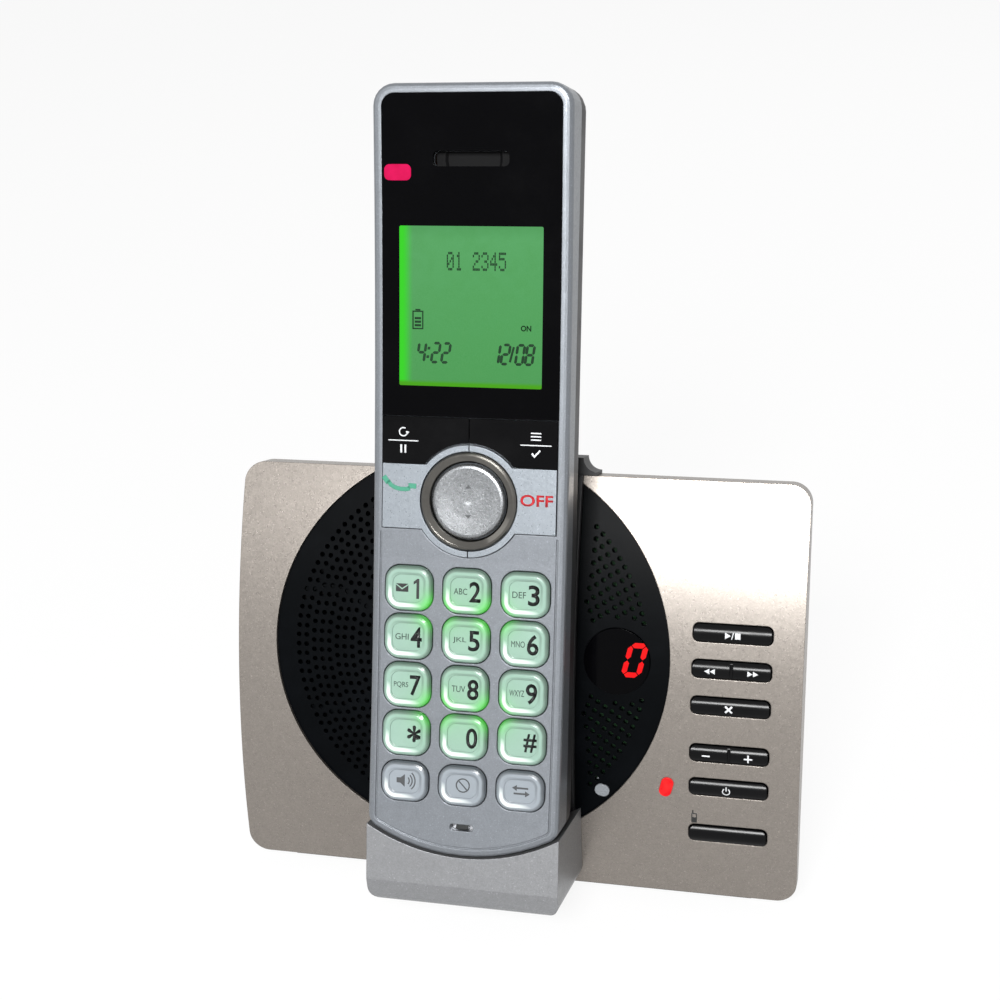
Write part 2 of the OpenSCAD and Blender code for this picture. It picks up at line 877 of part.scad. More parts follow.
front_layers = concat(
    [for (a = [0 : 30 : 90]) [face_edge * (1 - sin(a)), face_edge * (1 - cos(a)), 1]],
    [[0, split_y, 0]]
);
back_layers = [for (s = [0, 0.25, 0.5, 0.7, 0.85, 1])
    [back_taper * s * s, split_y + (hand_t - split_y) * s, 0]];
field_r = nav_ring_r + 1.6;
part_gap = 0.12;
arc_gap = 0.5;
deck_low = 70;
hand_board_y = 8.8;
hand_board_t = 1.2;
soft_spot = [13, 97];
call_spot = [15.6, 84];
mic_z = 7;
groove_w = 0.4;
groove_d = 0.3;
battery_r = 5.3;
battery_l = 44.5;
battery_low = 28;
battery_y = 18.8;
pocket_x = 11.4;
pocket_low = 26.3;
pocket_top = 74.1;
pocket_y = 13.4;
cover_y = 24.4;
cover_x = 13;
cover_top = 84;
ringer_z = 150;
ringer_r = 9;

module lens_field(out) {
    low = field_top + 0.25;
    top = hand_l - lens_drop;
    w = 2 * (half - rim_w + out);
    translate([0, (low + top) / 2])
        round_rect(w, top - low + 2 * out, 3);
    translate([-w / 2, low - out])
        square([w, (top - low) / 2]);
}

module ear_slot() {
    translate([0, ear_z])
        round_rect(ear_w, ear_h, 1.2);
}

module function_field(out) {
    translate([-field_x - out, field_low - out])
        square([2 * (field_x + out), field_top - field_low + 2 * out]);
    translate([0, nav_z])
        circle(field_r + out, $fn = 96);
}

module soft_field(side) {
    difference() {
        translate([side > 0 ? part_gap : -field_x, field_mid + part_gap])
            square([field_x - part_gap, field_top - field_mid - part_gap]);
        translate([0, nav_z])
            circle(field_r + arc_gap, $fn = 96);
    }
}

module call_field(side) {
    intersection() {
        difference() {
            union() {
                translate([-field_x, field_low])
                    square([2 * field_x, field_mid - field_low - part_gap]);
                translate([0, nav_z])
                    circle(field_r, $fn = 96);
            }
            translate([0, nav_z])
                circle(nav_ring_r + 0.25, $fn = 96);
        }
        translate([side > 0 ? part_gap : -2 * field_x, deck_low - 5])
            square([2 * field_x - part_gap, 60]);
    }
}

function key_x(i) = ((i % 3) - 1) * key_px;
function key_z(i) = key_top_z - floor(i / 3) * key_pz;
function key_height(i) = i < 12 ? key_h : low_key_h;

module front_cavity() {
    difference() {
        slab(-8, split_y + eps)
            polygon(outline(hand_wall));
        face_solid(hand_wall);
        intersection() {
            slab(-8, split_y - 2)
                translate([-hand_w, deck_low])
                    square([2 * hand_w, field_top + 1.6 - deck_low]);
            face_solid(deck_wall);
        }
    }
}

module charge_strip(out) {
    slab(contact_y - 2 - out, contact_y + 2 + out)
        for (s = [-1, 1])
            intersection() {
                translate([0, hand_end_r])
                    difference() {
                        circle(hand_end_r - fit + (out > 0 ? 1 : 0), $fn = 180);
                        circle(hand_end_r - 0.7 - out, $fn = 180);
                    }
                translate([s * contact_x, 2])
                    square([4 + 2 * out, 8], center = true);
            }
}

module handset_front() color(silver) in_hand()
    difference() {
        lofted(front_layers);
        front_cavity();
        intersection() {
            slab(-8, split_y)
                lens_field(fit);
            face_solid(lens_t + fit);
        }
        slab(-8, split_y - 2) {
            translate([0, lcd_z])
                square([lcd_w, lcd_h], center = true);
            ear_slot();
        }
        at_face(lamp_x, lamp_z)
            slab(-2, 4)
                round_rect(6.2 + 2 * fit, 3.5 + 2 * fit, 1.2);
        intersection() {
            slab(-8, split_y)
                function_field(key_gap);
            face_solid(well);
        }
        for (s = [-1, 1]) {
            at_face(s * soft_spot[0], soft_spot[1])
                slab(-2, 6)
                    circle(2.1);
            at_face(s * call_spot[0], call_spot[1])
                slab(-2, 6)
                    circle(2.1);
        }
        at_face(0, nav_z)
            slab(-2, 6)
                circle(3.4);
        for (i = [0 : 14])
            at_face(key_x(i), key_z(i))
                slab(-4, 4)
                    round_rect(key_w + 2 * key_gap, key_height(i) + 2 * key_gap, key_corner + key_gap);
        at_face(0, mic_z)
            slab(-2, 4)
                round_rect(5.6, 1.6, 0.7);
        intersection() {
            slab(-8, split_y)
                difference() {
                    polygon(outline(rim_w - groove_w));
                    polygon(outline(rim_w));
                    translate([-hand_w, field_low - 1])
                        square([2 * hand_w, hand_l]);
                }
            face_solid(groove_d);
        }
        charge_strip(2 * fit);
    }

module charge_plates() color(metal) in_hand() charge_strip(0);

module display_lens() color(black) in_hand()
    difference() {
        face_sheet(-0.15, lens_t)
            lens_field(0);
        slab(-8, split_y)
            ear_slot();
        at_face(lamp_x, lamp_z)
            slab(-2, 4)
                round_rect(6.2 + 2 * fit, 3.5 + 2 * fit, 1.2);
    }

module charge_light() color([0.95, 0.2, 0.6]) in_hand()
    at_face(lamp_x, lamp_z) {
        slab(-0.3, 3)
            round_rect(6.2, 3.5, 1.2);
        slab(hand_wall + 0.3, hand_wall + 1.3)
            round_rect(7, 5, 1.2);
    }

module lcd_module() color([0.35, 0.7, 0.4]) in_hand()
    difference() {
        intersection() {
            slab(-8, hand_board_y)
                translate([0, lcd_z])
                    round_rect(lcd_w + 3, lcd_h + 4, 1);
            at_face(0, lcd_z)
                slab(hand_wall + 0.4, hand_t)
                    square([hand_w, 2 * lcd_h], center = true);
        }
        slab(6, hand_board_y + 1)
            translate([0, lcd_z])
                square([lcd_w, lcd_h], center = true);
    }

module earpiece() color([0.15, 0.15, 0.15]) in_hand()
    at_face(0, ear_z)
        translate([0, hand_wall + 0.3, 0])
            rotate([-90, 0, 0])
                rotate_extrude()
                    polygon([[0, 0.6], [6, 0.6], [6.6, 0], [8.6, 0], [8.6, 2.6], [6, 4], [0, 4]]);

module microphone() color(metal) in_hand()
    at_face(0, mic_z)
        translate([0, hand_wall + 0.3, 0.4])
            rotate([-90, 0, 0])
                cylinder(r = 2.9, h = 2.4);

// A function key: a sheet that follows the face, with a stem through the deck and a foot behind it
module deck_key(spot) {
    face_sheet(-0.3, 1.3)
        children();
    at_face(spot[0], spot[1]) {
        slab(1, deck_wall + 0.8)
            circle(1.8);
        slab(deck_wall + 0.4, deck_wall + 1.4)
            circle(2.6);
    }
}

module soft_key_left() color(black) in_hand()
    deck_key([-soft_spot[0], soft_spot[1]])
        soft_field(-1);

module soft_key_right() color(black) in_hand()
    deck_key(soft_spot)
        soft_field(1);

module talk_key() color(silver) in_hand()
    deck_key([-call_spot[0], call_spot[1]])
        call_field(-1);

module off_key() color(silver) in_hand()
    deck_key(call_spot)
        call_field(1);

module nav_ring() color(metal) in_hand()
    at_face(0, nav_z)
        rotate([90, 0, 0])
            rotate_extrude($fn = 96)
                polygon([
                    [nav_r + 0.35, -well + 0.1], [nav_ring_r, -well + 0.1], [nav_ring_r, 0.35],
                    [nav_ring_r - 0.35, 0.75], [nav_ring_r - 0.8, 0.8], [nav_r + 0.75, 0.15], [nav_r + 0.35, -0.3]
                ]);

module nav_key() color(silver) in_hand()
    at_face(0, nav_z)
        rotate([90, 0, 0])
            rotate_extrude($fn = 96)
                polygon([
                    [0, 0.3], [4, 0.36], [nav_r - 0.9, 0.6], [nav_r - 0.35, 0.5], [nav_r, 0.1], [nav_r, -1.1],
                    [3, -1.1], [3, -deck_wall - 0.45], [4.2, -deck_wall - 0.45], [4.2, -deck_wall - 1.4],
                    [0, -deck_wall - 1.4]
                ]);

pad_inset = 2;
pad_sink = 0.25;

// A dial key: crowned rim, sunk pad, body in its window and flange behind the face
module dial_key(i) color([0.72, 0.88, 0.8]) in_hand()
    at_face(key_x(i), key_z(i)) {
        h = key_height(i);
        difference() {
            hull() {
                slab(-0.2, 0)
                    round_rect(key_w, h, key_corner, $fn = 24);
                slab(-key_proud * 0.75, 0)
                    round_rect(key_w - 0.7, h - 0.7, key_corner - 0.35, $fn = 24);
                slab(-key_proud, 0)
                    round_rect(key_w - 2, h - 2, key_corner - 1, $fn = 24);
            }
            slab(-key_proud - 1, -key_proud + pad_sink)
                round_rect(key_w - 2 * pad_inset, h - 2 * pad_inset, key_corner - pad_inset + 0.4);
        }
        slab(-eps, 2.6)
            round_rect(key_w, h, key_corner);
        slab(hand_wall + 0.3, hand_wall + 1.1)
            round_rect(key_w + 1.6, h, 1.5);
    }

module keypad_mat() color([0.75, 0.8, 0.78]) in_hand() {
    face_sheet(4.1, 4.9)
        translate([0, 39.5])
            round_rect(38.6, 57.6, 3);
    difference() {
        slab(0, hand_board_y - 0.3)
            for (i = [0 : 14])
                translate([key_x(i), key_z(i)])
                    circle(2.2);
        face_solid(4.5);
    }
}

module handset_board() color([0.1, 0.3, 0.16]) in_hand() {
    slab(hand_board_y, hand_board_y + hand_board_t)
        translate([0, 88])
            round_rect(35, 156, 3);
    slab(hand_board_y + hand_board_t - eps, hand_board_y + 2.7) {
        translate([-6, 95])
            square([12, 12], center = true);
        translate([8, 116])
            square([9, 7], center = true);
        translate([-4, 136])
            square([18, 16], center = true);
    }
}

module back_cavity() {
    difference() {
        union() {
            slab(split_y - eps, 16)
                polygon(outline(hand_wall + 1.2));
            slab(16 - eps, 20.5)
                polygon(outline(hand_wall + 3.9));
            slab(20.5 - eps, 23.4)
                polygon(outline(hand_wall + 6.2));
        }
        slab(pocket_y - 1.2, hand_t)
            translate([-pocket_x - 1.5, pocket_low - 1.5])
                square([2 * pocket_x + 3, pocket_top - pocket_low + 3]);
    }
}

module handset_back() color(black) in_hand()
    difference() {
        lofted(back_layers);
        back_cavity();
        slab(pocket_y, hand_t + 1)
            translate([-pocket_x, pocket_low])
                square([2 * pocket_x, pocket_top - pocket_low]);
        slab(cover_y, hand_t + 1)
            translate([-cover_x - 3 * fit, -1])
                square([2 * cover_x + 6 * fit, cover_top + 1 + 3 * fit]);
        slab(22, hand_t + 1)
            for (i = [-2 : 2])
                translate([0, ringer_z + 3 * i])
                    round_rect(10, 1.3, 0.6);
    }

module battery_pack() color([0.3, 0.5, 0.3]) in_hand()
    for (s = [-1, 1])
        translate([s * (battery_r + 0.1), battery_y, battery_low]) {
            cylinder(r = battery_r, h = battery_l);
            translate([0, 0, battery_l - eps])
                cylinder(r = 1.9, h = 1.2);
        }

module battery_cover() color(black) in_hand()
    difference() {
        intersection() {
            lofted(back_layers);
            slab(cover_y + fit, hand_t + 1)
                translate([-cover_x, -1])
                    square([2 * cover_x, cover_top + 1]);
        }
        for (i = [0 : 4])
            slab(hand_t - 0.4, hand_t + 1)
                translate([0, cover_top - 14 + 2 * i])
                    round_rect(12 - abs(i - 2) * 2, 0.9, 0.4);
    }

module ringer() color(metal) in_hand()
    translate([0, 23.1, ringer_z])
        rotate([90, 0, 0])
            cylinder(r = ringer_r, h = 4);

module key_1() dial_key(0);
module key_2() dial_key(1);
module key_3() dial_key(2);
module key_4() dial_key(3);
module key_5() dial_key(4);
module key_6() dial_key(5);
module key_7() dial_key(6);
module key_8() dial_key(7);
module key_9() dial_key(8);
module key_star() dial_key(9);
module key_0() dial_key(10);
module key_hash() dial_key(11);
module key_speaker() dial_key(12);
module key_mute() dial_key(13);
module key_intercom() dial_key(14);

faceplate();
speaker_grille();
handset_channel();
cradle_chin();
message_window();
message_display();
answer_light();
in_use_light();
play_stop_key();
skip_rocker();
erase_key();
volume_rocker();
answer_on_key();
find_handset_key();
base_housing();
base_board();
base_speaker();
charge_spring_left();
charge_spring_right();
line_socket();
power_socket();
rubber_feet();
housing_screws();
handset_front();
display_lens();
lcd_module();
earpiece();
charge_light();
soft_key_left();
soft_key_right();
talk_key();
off_key();
nav_ring();
nav_key();
key_1();
key_2();
key_3();
key_4();
key_5();
key_6();
key_7();
key_8();
key_9();
key_star();
key_0();
key_hash();
key_speaker();
key_mute();
key_intercom();
keypad_mat();
handset_board();
microphone();
handset_back();
battery_pack();
battery_cover();
charge_plates();
ringer();
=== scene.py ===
"""Looks of a cordless handset docked in its answering base: finishes, printed marks, displays and lamps.

Lengths are metres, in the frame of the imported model: X right, Y back, Z up from the table.
"""

from math import asin, cos, hypot, radians, sin, sqrt

import bmesh
import bpy
from mathutils import Matrix, Vector


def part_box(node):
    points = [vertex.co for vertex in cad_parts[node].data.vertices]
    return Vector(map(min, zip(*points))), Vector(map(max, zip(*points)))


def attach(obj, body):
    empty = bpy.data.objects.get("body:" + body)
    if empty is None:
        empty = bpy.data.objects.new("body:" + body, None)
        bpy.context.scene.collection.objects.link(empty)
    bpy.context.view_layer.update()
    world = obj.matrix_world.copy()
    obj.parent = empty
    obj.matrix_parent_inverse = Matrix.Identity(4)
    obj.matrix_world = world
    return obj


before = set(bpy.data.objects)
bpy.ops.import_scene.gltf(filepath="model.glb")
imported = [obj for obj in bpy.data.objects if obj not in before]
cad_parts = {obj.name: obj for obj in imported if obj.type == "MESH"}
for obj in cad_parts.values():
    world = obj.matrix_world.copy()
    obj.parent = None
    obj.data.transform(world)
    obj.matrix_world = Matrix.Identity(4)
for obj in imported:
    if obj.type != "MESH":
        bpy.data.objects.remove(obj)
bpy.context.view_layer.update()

MM = 0.001

# Sizes repeated from the part's source, in millimetres
LEAN = 18
PANEL_LIFT = 6.6
DOCK_X, DOCK_Z = -5.4, 14.7
FACE_OUT = 21
BOW_R, BOW_PEAK = 194, 56
FACE_R, FACE_MID = 1250, 88.5
HOUSE_D = 72
KEY_PX, KEY_PZ, KEY_TOP_Z = 13.86, 11.4, 62.6
KEY_HALF, KEY_LOW_HALF, KEY_CORNER = (5.7, 5.25), 4.7, 3.6
KEY_RIM, KEY_BAND, KEY_STEP = 1.0, 1.35, 1.75
KEY_PAD = -0.75
BAR_X = 53.7
BAR_Z = [66.8, 58.1, 49.2, 37.4, 28.8, 16.7]
BAR_PROUD, BAR_ROUND = 1.1, 3.1
NAV_Z = 83.4
MIC_Z = 7
LENS_PROUD = 0.15
LCD_Z, LCD_W, LCD_H = 127.6, 33.3, 36.0
COUNT_X, COUNT_Z = 26.2, 58.3
KEY_SHEET_PROUD = 0.3
SILVER_DEPTH = 7.0

# The housing's back edge fixes where the side view lies along Y
MID_Y = HOUSE_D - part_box("base_housing")[1][1] / MM


# Places on the object

def turn_x(degrees):
    return Matrix.Rotation(radians(degrees), 4, "X")


def move(x, y, z):
    return Matrix.Translation(Vector((x, y, z)) * MM)


PANEL = move(0, -MID_Y, PANEL_LIFT) @ turn_x(-LEAN)
HAND = PANEL @ move(DOCK_X, -FACE_OUT, DOCK_Z)


def bow_y(z):
    return BOW_R - sqrt(BOW_R ** 2 - (z - BOW_PEAK) ** 2)


def face_y(z):
    return sqrt(FACE_R ** 2 - (z - FACE_MID) ** 2) - FACE_R


def at_bow(x, z):
    tilt = asin((z - BOW_PEAK) / BOW_R)
    return PANEL @ move(x, bow_y(z), z) @ Matrix.Rotation(-tilt, 4, "X")


def at_face(x, z):
    tilt = asin((z - FACE_MID) / FACE_R)
    return HAND @ move(x, face_y(z), z) @ Matrix.Rotation(tilt, 4, "X")


def key_place(index):
    return at_face((index % 3 - 1) * KEY_PX, KEY_TOP_Z - index // 3 * KEY_PZ)


def on_flat(depth):
    return lambda x, z: depth


def on_bar(x, z):
    return BAR_ROUND - BAR_PROUD - sqrt(BAR_ROUND ** 2 - z * z)


def on_nav(x, z):
    r = hypot(x, z)
    return -0.3 - (0.06 * r / 4 if r < 4 else 0.06 + 0.24 * (r - 4) / 3.7)


# Flat shapes, in millimetres, as lists of outlines

CORNER_STEPS = 6


def box_at(x, z, w, h):
    return [(x - w / 2, z - h / 2), (x + w / 2, z - h / 2), (x + w / 2, z + h / 2), (x - w / 2, z + h / 2)]


def turned(outline, degrees, x=0.0, z=0.0):
    c, s = cos(radians(degrees)), sin(radians(degrees))
    return [(x + p[0] * c - p[1] * s, z + p[0] * s + p[1] * c) for p in outline]


def shifted(outlines, x, z):
    return [[(p[0] + x, p[1] + z) for p in outline] for outline in outlines]


def arc_points(r, a0, a1, steps, x=0.0, z=0.0):
    angles = [radians(a0 + (a1 - a0) * i / steps) for i in range(steps + 1)]
    return [(x + r * cos(a), z + r * sin(a)) for a in angles]


def ribbon(points, width):
    """A band of even width along a line of points."""
    left, right = [], []
    for i, (x, z) in enumerate(points):
        before, after = points[max(i - 1, 0)], points[min(i + 1, len(points) - 1)]
        dx, dz = after[0] - before[0], after[1] - before[1]
        length = hypot(dx, dz)
        nx, nz = -dz / length * width / 2, dx / length * width / 2
        left.append((x + nx, z + nz))
        right.append((x - nx, z - nz))
    return left + right[::-1]


def cross_shape(arm, width, turn=0):
    a, w = arm / 2, width / 2
    plus = [(-a, -w), (-w, -w), (-w, -a), (w, -a), (w, -w), (a, -w),
            (a, w), (w, w), (w, a), (-w, a), (-w, w), (-a, w)]
    return turned(plus, turn)


def round_box(x, z, w, h, r):
    points = []
    for cx, cz, a in ((1, -1, -90), (1, 1, 0), (-1, 1, 90), (-1, -1, 180)):
        points += arc_points(r, a, a + 90, CORNER_STEPS, x + cx * (w / 2 - r), z + cz * (h / 2 - r))
    return points


ONE = [[(-0.05, -2.35), (0.62, -2.35), (0.62, 2.35), (0.15, 2.35), (-0.75, 1.6), (-0.75, 0.95), (-0.05, 1.4)]]
PLAY_STOP = [[(-1.75, -0.85), (-0.35, 0), (-1.75, 0.85)],
             [(-0.3, -0.85), (-0.05, -0.85), (0.35, 0.85), (0.1, 0.85)],
             box_at(1.25, 0, 1.3, 1.5)]
REWIND = [[(-1.25, 0), (0, -0.7), (0, 0.7)], [(0.05, 0), (1.3, -0.7), (1.3, 0.7)]]
FORWARD = [[(-p[0], p[1]) for p in reversed(outline)] for outline in REWIND]
POWER = [ribbon(arc_points(0.85, 125, 415, 24), 0.26), box_at(0, 0.62, 0.26, 1.0)]
FINDER = [box_at(-0.32, 1.45, 0.32, 0.7), box_at(-0.55, -0.2, 0.22, 2.5), box_at(0.55, -0.2, 0.22, 2.5),
          box_at(0, 0.92, 0.86, 0.26), box_at(0, -0.75, 0.86, 1.4)]
ENVELOPE = [[(-1.5, 0.95), (0, -0.1), (1.5, 0.95)],
            [(-1.5, -0.95), (1.5, -0.95), (1.5, 0.62), (0, -0.45), (-1.5, 0.62)]]
LOUDSPEAKER = [[(-2.2, -0.6), (-1.3, -0.6), (-0.2, -1.5), (-0.2, 1.5), (-1.3, 0.6), (-2.2, 0.6)],
               ribbon(arc_points(1.1, -45, 45, 8, -0.2), 0.28),
               ribbon(arc_points(1.8, -48, 48, 10, -0.2), 0.28),
               ribbon(arc_points(2.5, -50, 50, 12, -0.2), 0.28)]
SILENT = [ribbon(arc_points(1.55, 0, 134, 16) + arc_points(1.55, 136, 224, 10), 0.3),
          ribbon(arc_points(1.55, 226, 314, 10) + arc_points(1.55, 316, 358, 6), 0.3),
          turned(box_at(0, 0, 2.7, 0.3), -45)]
BETWEEN = [[(-2.1, 0.55), (-1.0, 1.25), (-1.0, 0.75), (1.7, 0.75), (1.7, 0.35), (-1.0, 0.35), (-1.0, -0.15)],
           [(2.1, -0.75), (1.0, -0.05), (1.0, -0.55), (-1.7, -0.55), (-1.7, -0.95), (1.0, -0.95), (1.0, -1.45)]]
AGAIN = [ribbon(arc_points(0.95, 60, 340, 22), 0.3), [(0.55, 0.2), (1.45, 0.05), (0.8, -0.85)]]
PAUSE = [box_at(-0.5, 0, 0.45, 1.9), box_at(0.5, 0, 0.45, 1.9)]
LIST = [box_at(0, 0.75, 2.4, 0.3), box_at(0, 0, 2.4, 0.3), box_at(0, -0.75, 2.4, 0.3)]
TICK = [[(-1.1, -0.05), (-0.75, 0.25), (-0.3, -0.35), (0.85, 0.95), (1.15, 0.65), (-0.3, -0.95)]]
RECEIVER = [ribbon([(-2.6, 1.0), (-1.9, 0.1), (-0.9, -0.45), (0.4, -0.75), (1.7, -0.75), (2.7, -0.5)], 1.0),
            turned(box_at(0, 0, 1.9, 1.2), -55, -3.1, 1.3),
            turned(box_at(0, 0, 1.9, 1.2), -2, 3.25, 0.05)]
UP_MARK = [[(-0.75, -0.35), (0.75, -0.35), (0, 0.55)]]
DOWN_MARK = [[(-0.75, 0.35), (0, -0.55), (0.75, 0.35)]]
BATTERY = [box_at(0, 2.1, 1.2, 0.35), box_at(-1.15, -0.2, 0.3, 4.2), box_at(1.15, -0.2, 0.3, 4.2),
           box_at(0, 1.75, 2.0, 0.3), box_at(0, -2.15, 2.0, 0.3),
           box_at(0, 0.2, 1.5, 0.5), box_at(0, -0.6, 1.5, 0.5), box_at(0, -1.4, 1.5, 0.5)]

SEGMENTS = {"a": (0, 1, True), "b": (0.5, 0.5, False), "c": (0.5, -0.5, False), "d": (0, -1, True),
            "e": (-0.5, -0.5, False), "f": (-0.5, 0.5, False), "g": (0, 0, True)}
LIT = {"0": "abcdef", "1": "bc", "2": "abged", "4": "fgbc", "8": "abcdefg"}


def seven_segments(text, height, thick, slant, pitch, colon_pitch, wide=0.5):
    """Slanted figures made of seven bars each, starting at x 0 and centred on z 0."""
    outlines, x = [], 0.0
    w, h = height * wide, height / 2
    for letter in text:
        if letter == ":":
            for z in (-0.45, 0.45):
                outlines.append([(x + p[0] + slant * p[1], p[1]) for p in box_at(0, z * h, thick, thick)])
        if letter == "/":
            outlines.append(ribbon([(x - 0.45, -0.8 * h), (x + 0.45, 0.8 * h)], thick * 0.8))
        if letter in ":/":
            x += colon_pitch
            continue
        for part in LIT[letter]:
            cx, cz, level = SEGMENTS[part]
            long = w if level else h
            a, b = long / 2 - thick * 0.12, thick / 2
            bar = [(-a, 0), (-a + b, -b), (a - b, -b), (a, 0), (a - b, b), (-a + b, b)]
            bar = turned(bar, 0 if level else 90)
            places = [(x + w / 2 + cx * w + p[0], cz * h + p[1]) for p in bar]
            outlines.append([(px + slant * pz, pz) for px, pz in places])
        x += pitch
    return outlines


DOTS = {
    "0": "01110 10001 10011 10101 11001 10001 01110", "1": "00100 01100 00100 00100 00100 00100 01110",
    "2": "01110 10001 00001 00110 01000 10000 11111", "3": "01110 10001 00001 00110 00001 10001 01110",
    "4": "00010 00110 01010 10010 11111 00010 00010", "5": "11111 10000 11110 00001 00001 10001 01110",
    " ": "",
}


def dot_figures(text, width, height, gap):
    """Figures of five by seven dots, starting at x 0 and centred on z 0."""
    outlines, x = [], 0.0
    for letter in text:
        for row, bits in enumerate(DOTS[letter].split()):
            for column, bit in enumerate(bits):
                if bit == "1":
                    outlines.append(box_at(x + column * (width + gap), (3 - row) * (height + gap), width, height))
        x += 6 * (width + gap)
    return outlines


# Meshes for printed marks and thin windows

def clean_mesh(name, bm, place):
    mesh = bpy.data.meshes.new(name)
    bmesh.ops.recalc_face_normals(bm, faces=bm.faces)
    bm.transform(place)
    bm.to_mesh(mesh)
    bm.free()
    piece = bpy.data.objects.new(name, mesh)
    bpy.context.scene.collection.objects.link(piece)
    return piece


def raise_print(bm, surface, proud, sunk, strip):
    """Turns flat faces drawn in X and Z, in millimetres, into a thin closed layer on a surface."""
    bmesh.ops.remove_doubles(bm, verts=bm.verts, dist=0.0005)
    if strip:
        low = min(v.co.z for v in bm.verts)
        high = max(v.co.z for v in bm.verts)
        for i in range(1, int((high - low) / strip) + 1):
            geometry = bm.verts[:] + bm.edges[:] + bm.faces[:]
            bmesh.ops.bisect_plane(bm, geom=geometry, plane_co=(0, 0, low + i * strip), plane_no=(0, 0, 1))
    bmesh.ops.triangulate(bm, faces=bm.faces)
    for face in bm.faces:
        face.normal_update()
        if face.normal.y > 0:
            face.normal_flip()
    fronts = set(bm.verts)
    bmesh.ops.extrude_face_region(bm, geom=bm.faces[:])
    backs = [v for v in bm.verts if v not in fronts]
    for v in bm.verts:
        v.co.y = surface(v.co.x, v.co.z) - proud
    for v in backs:
        v.co.y += proud + sunk
    bmesh.ops.scale(bm, vec=(MM, MM, MM), verts=bm.verts)


def printed(name, outlines, place, surface, material, body, proud=0.03, sunk=0.03, strip=0.0):
    """A mark drawn as outlines, raised a hair over a surface. Strip cuts it so that it can follow a curve."""
    bm = bmesh.new()
    for outline in outlines:
        bm.faces.new([bm.verts.new((x, 0, z)) for x, z in outline])
    raise_print(bm, surface, proud, sunk, strip)
    return dress(clean_mesh(name, bm, place), material, body)


def lettered(name, text, x, z, width, height, place, surface, material, body, bold=0.0, proud=0.03):
    """A figure or letters filling a box of width by height round x, z."""
    curve = bpy.data.curves.new(name + "_line", "FONT")
    curve.body = text
    curve.resolution_u = 4
    curve.offset = bold
    carrier = bpy.data.objects.new(name + "_line", curve)
    flat = bpy.data.meshes.new_from_object(carrier)
    bpy.data.objects.remove(carrier)
    bm = bmesh.new()
    bm.from_mesh(flat)
    bpy.data.meshes.remove(flat)
    bpy.data.curves.remove(curve)
    xs = [v.co.x for v in bm.verts]
    ys = [v.co.y for v in bm.verts]
    sx = width / (max(xs) - min(xs))
    sz = height / (max(ys) - min(ys))
    for v in bm.verts:
        px = (v.co.x - (max(xs) + min(xs)) / 2) * sx + x
        pz = (v.co.y - (max(ys) + min(ys)) / 2) * sz + z
        v.co = (px, 0, pz)
    raise_print(bm, surface, proud, 0.03, 0.0)
    return dress(clean_mesh(name, bm, place), material, body)


def dress(piece, material, body):
    piece.data.materials.append(material)
    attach(piece, body)
    return piece


# Node groups shared by the finishes

def linear(hex_code):
    value = [int(hex_code[i:i + 2], 16) / 255 for i in (0, 2, 4)]
    return tuple(v / 12.92 if v <= 0.04045 else ((v + 0.055) / 1.055) ** 2.4 for v in value) + (1.0,)


class Tree:
    """Adds and links nodes in one node tree."""

    def __init__(self, tree):
        self.tree = tree

    def add(self, kind, **settings):
        node = self.tree.nodes.new(kind)
        for key, value in settings.items():
            setattr(node, key, value)
        return node

    def feed(self, node, key, value):
        socket = node.inputs[key]
        if isinstance(value, bpy.types.NodeSocket):
            self.tree.links.new(value, socket)
        else:
            socket.default_value = value

    def math(self, operation, a, b=0.0, clamp=False):
        node = self.add("ShaderNodeMath", operation=operation, use_clamp=clamp)
        self.feed(node, 0, a)
        self.feed(node, 1, b)
        return node.outputs[0]

    def wrap(self, value, pitch):
        node = self.add("ShaderNodeMath", operation="WRAP")
        for i, number in enumerate((value, pitch / 2, -pitch / 2)):
            self.feed(node, i, number)
        return node.outputs[0]

    def vector(self, operation, a, b):
        node = self.add("ShaderNodeVectorMath", operation=operation)
        self.feed(node, 0, a)
        self.feed(node, 1, b)
        return node.outputs["Value" if operation in ("DISTANCE", "LENGTH") else "Vector"]

    def mix(self, factor, a, b):
        node = self.add("ShaderNodeMix", data_type="RGBA")
        self.feed(node, 0, factor)
        self.feed(node, 6, a)
        self.feed(node, 7, b)
        return node.outputs[2]

    def spread(self, value, low, high, to_low=0.0, to_high=1.0, smooth=False):
        node = self.add("ShaderNodeMapRange", interpolation_type="SMOOTHSTEP" if smooth else "LINEAR")
        for key, number in zip(("Value", "From Min", "From Max", "To Min", "To Max"),
                               (value, low, high, to_low, to_high)):
            self.feed(node, key, number)
        return node.outputs["Result"]

    def noise(self, vector, scale, detail=2.0, roughness=0.5):
        node = self.add("ShaderNodeTexNoise")
        self.feed(node, "Vector", vector)
        self.feed(node, "Scale", scale)
        self.feed(node, "Detail", detail)
        self.feed(node, "Roughness", roughness)
        return node.outputs["Fac"]

    def cells(self, vector, scale):
        node = self.add("ShaderNodeTexVoronoi")
        self.feed(node, "Vector", vector)
        self.feed(node, "Scale", scale)
        return node.outputs["Color"]


def group(name, inputs, outputs):
    tree = bpy.data.node_groups.new(name, "ShaderNodeTree")
    kinds = {"float": "NodeSocketFloat", "color": "NodeSocketColor", "vector": "NodeSocketVector"}
    for label, (kind, value) in inputs.items():
        socket = tree.interface.new_socket(name=label, in_out="INPUT", socket_type=kinds[kind])
        socket.default_value = value
    for label, kind in outputs.items():
        tree.interface.new_socket(name=label, in_out="OUTPUT", socket_type=kinds[kind])
    t = Tree(tree)
    return t, t.add("NodeGroupInput"), t.add("NodeGroupOutput")


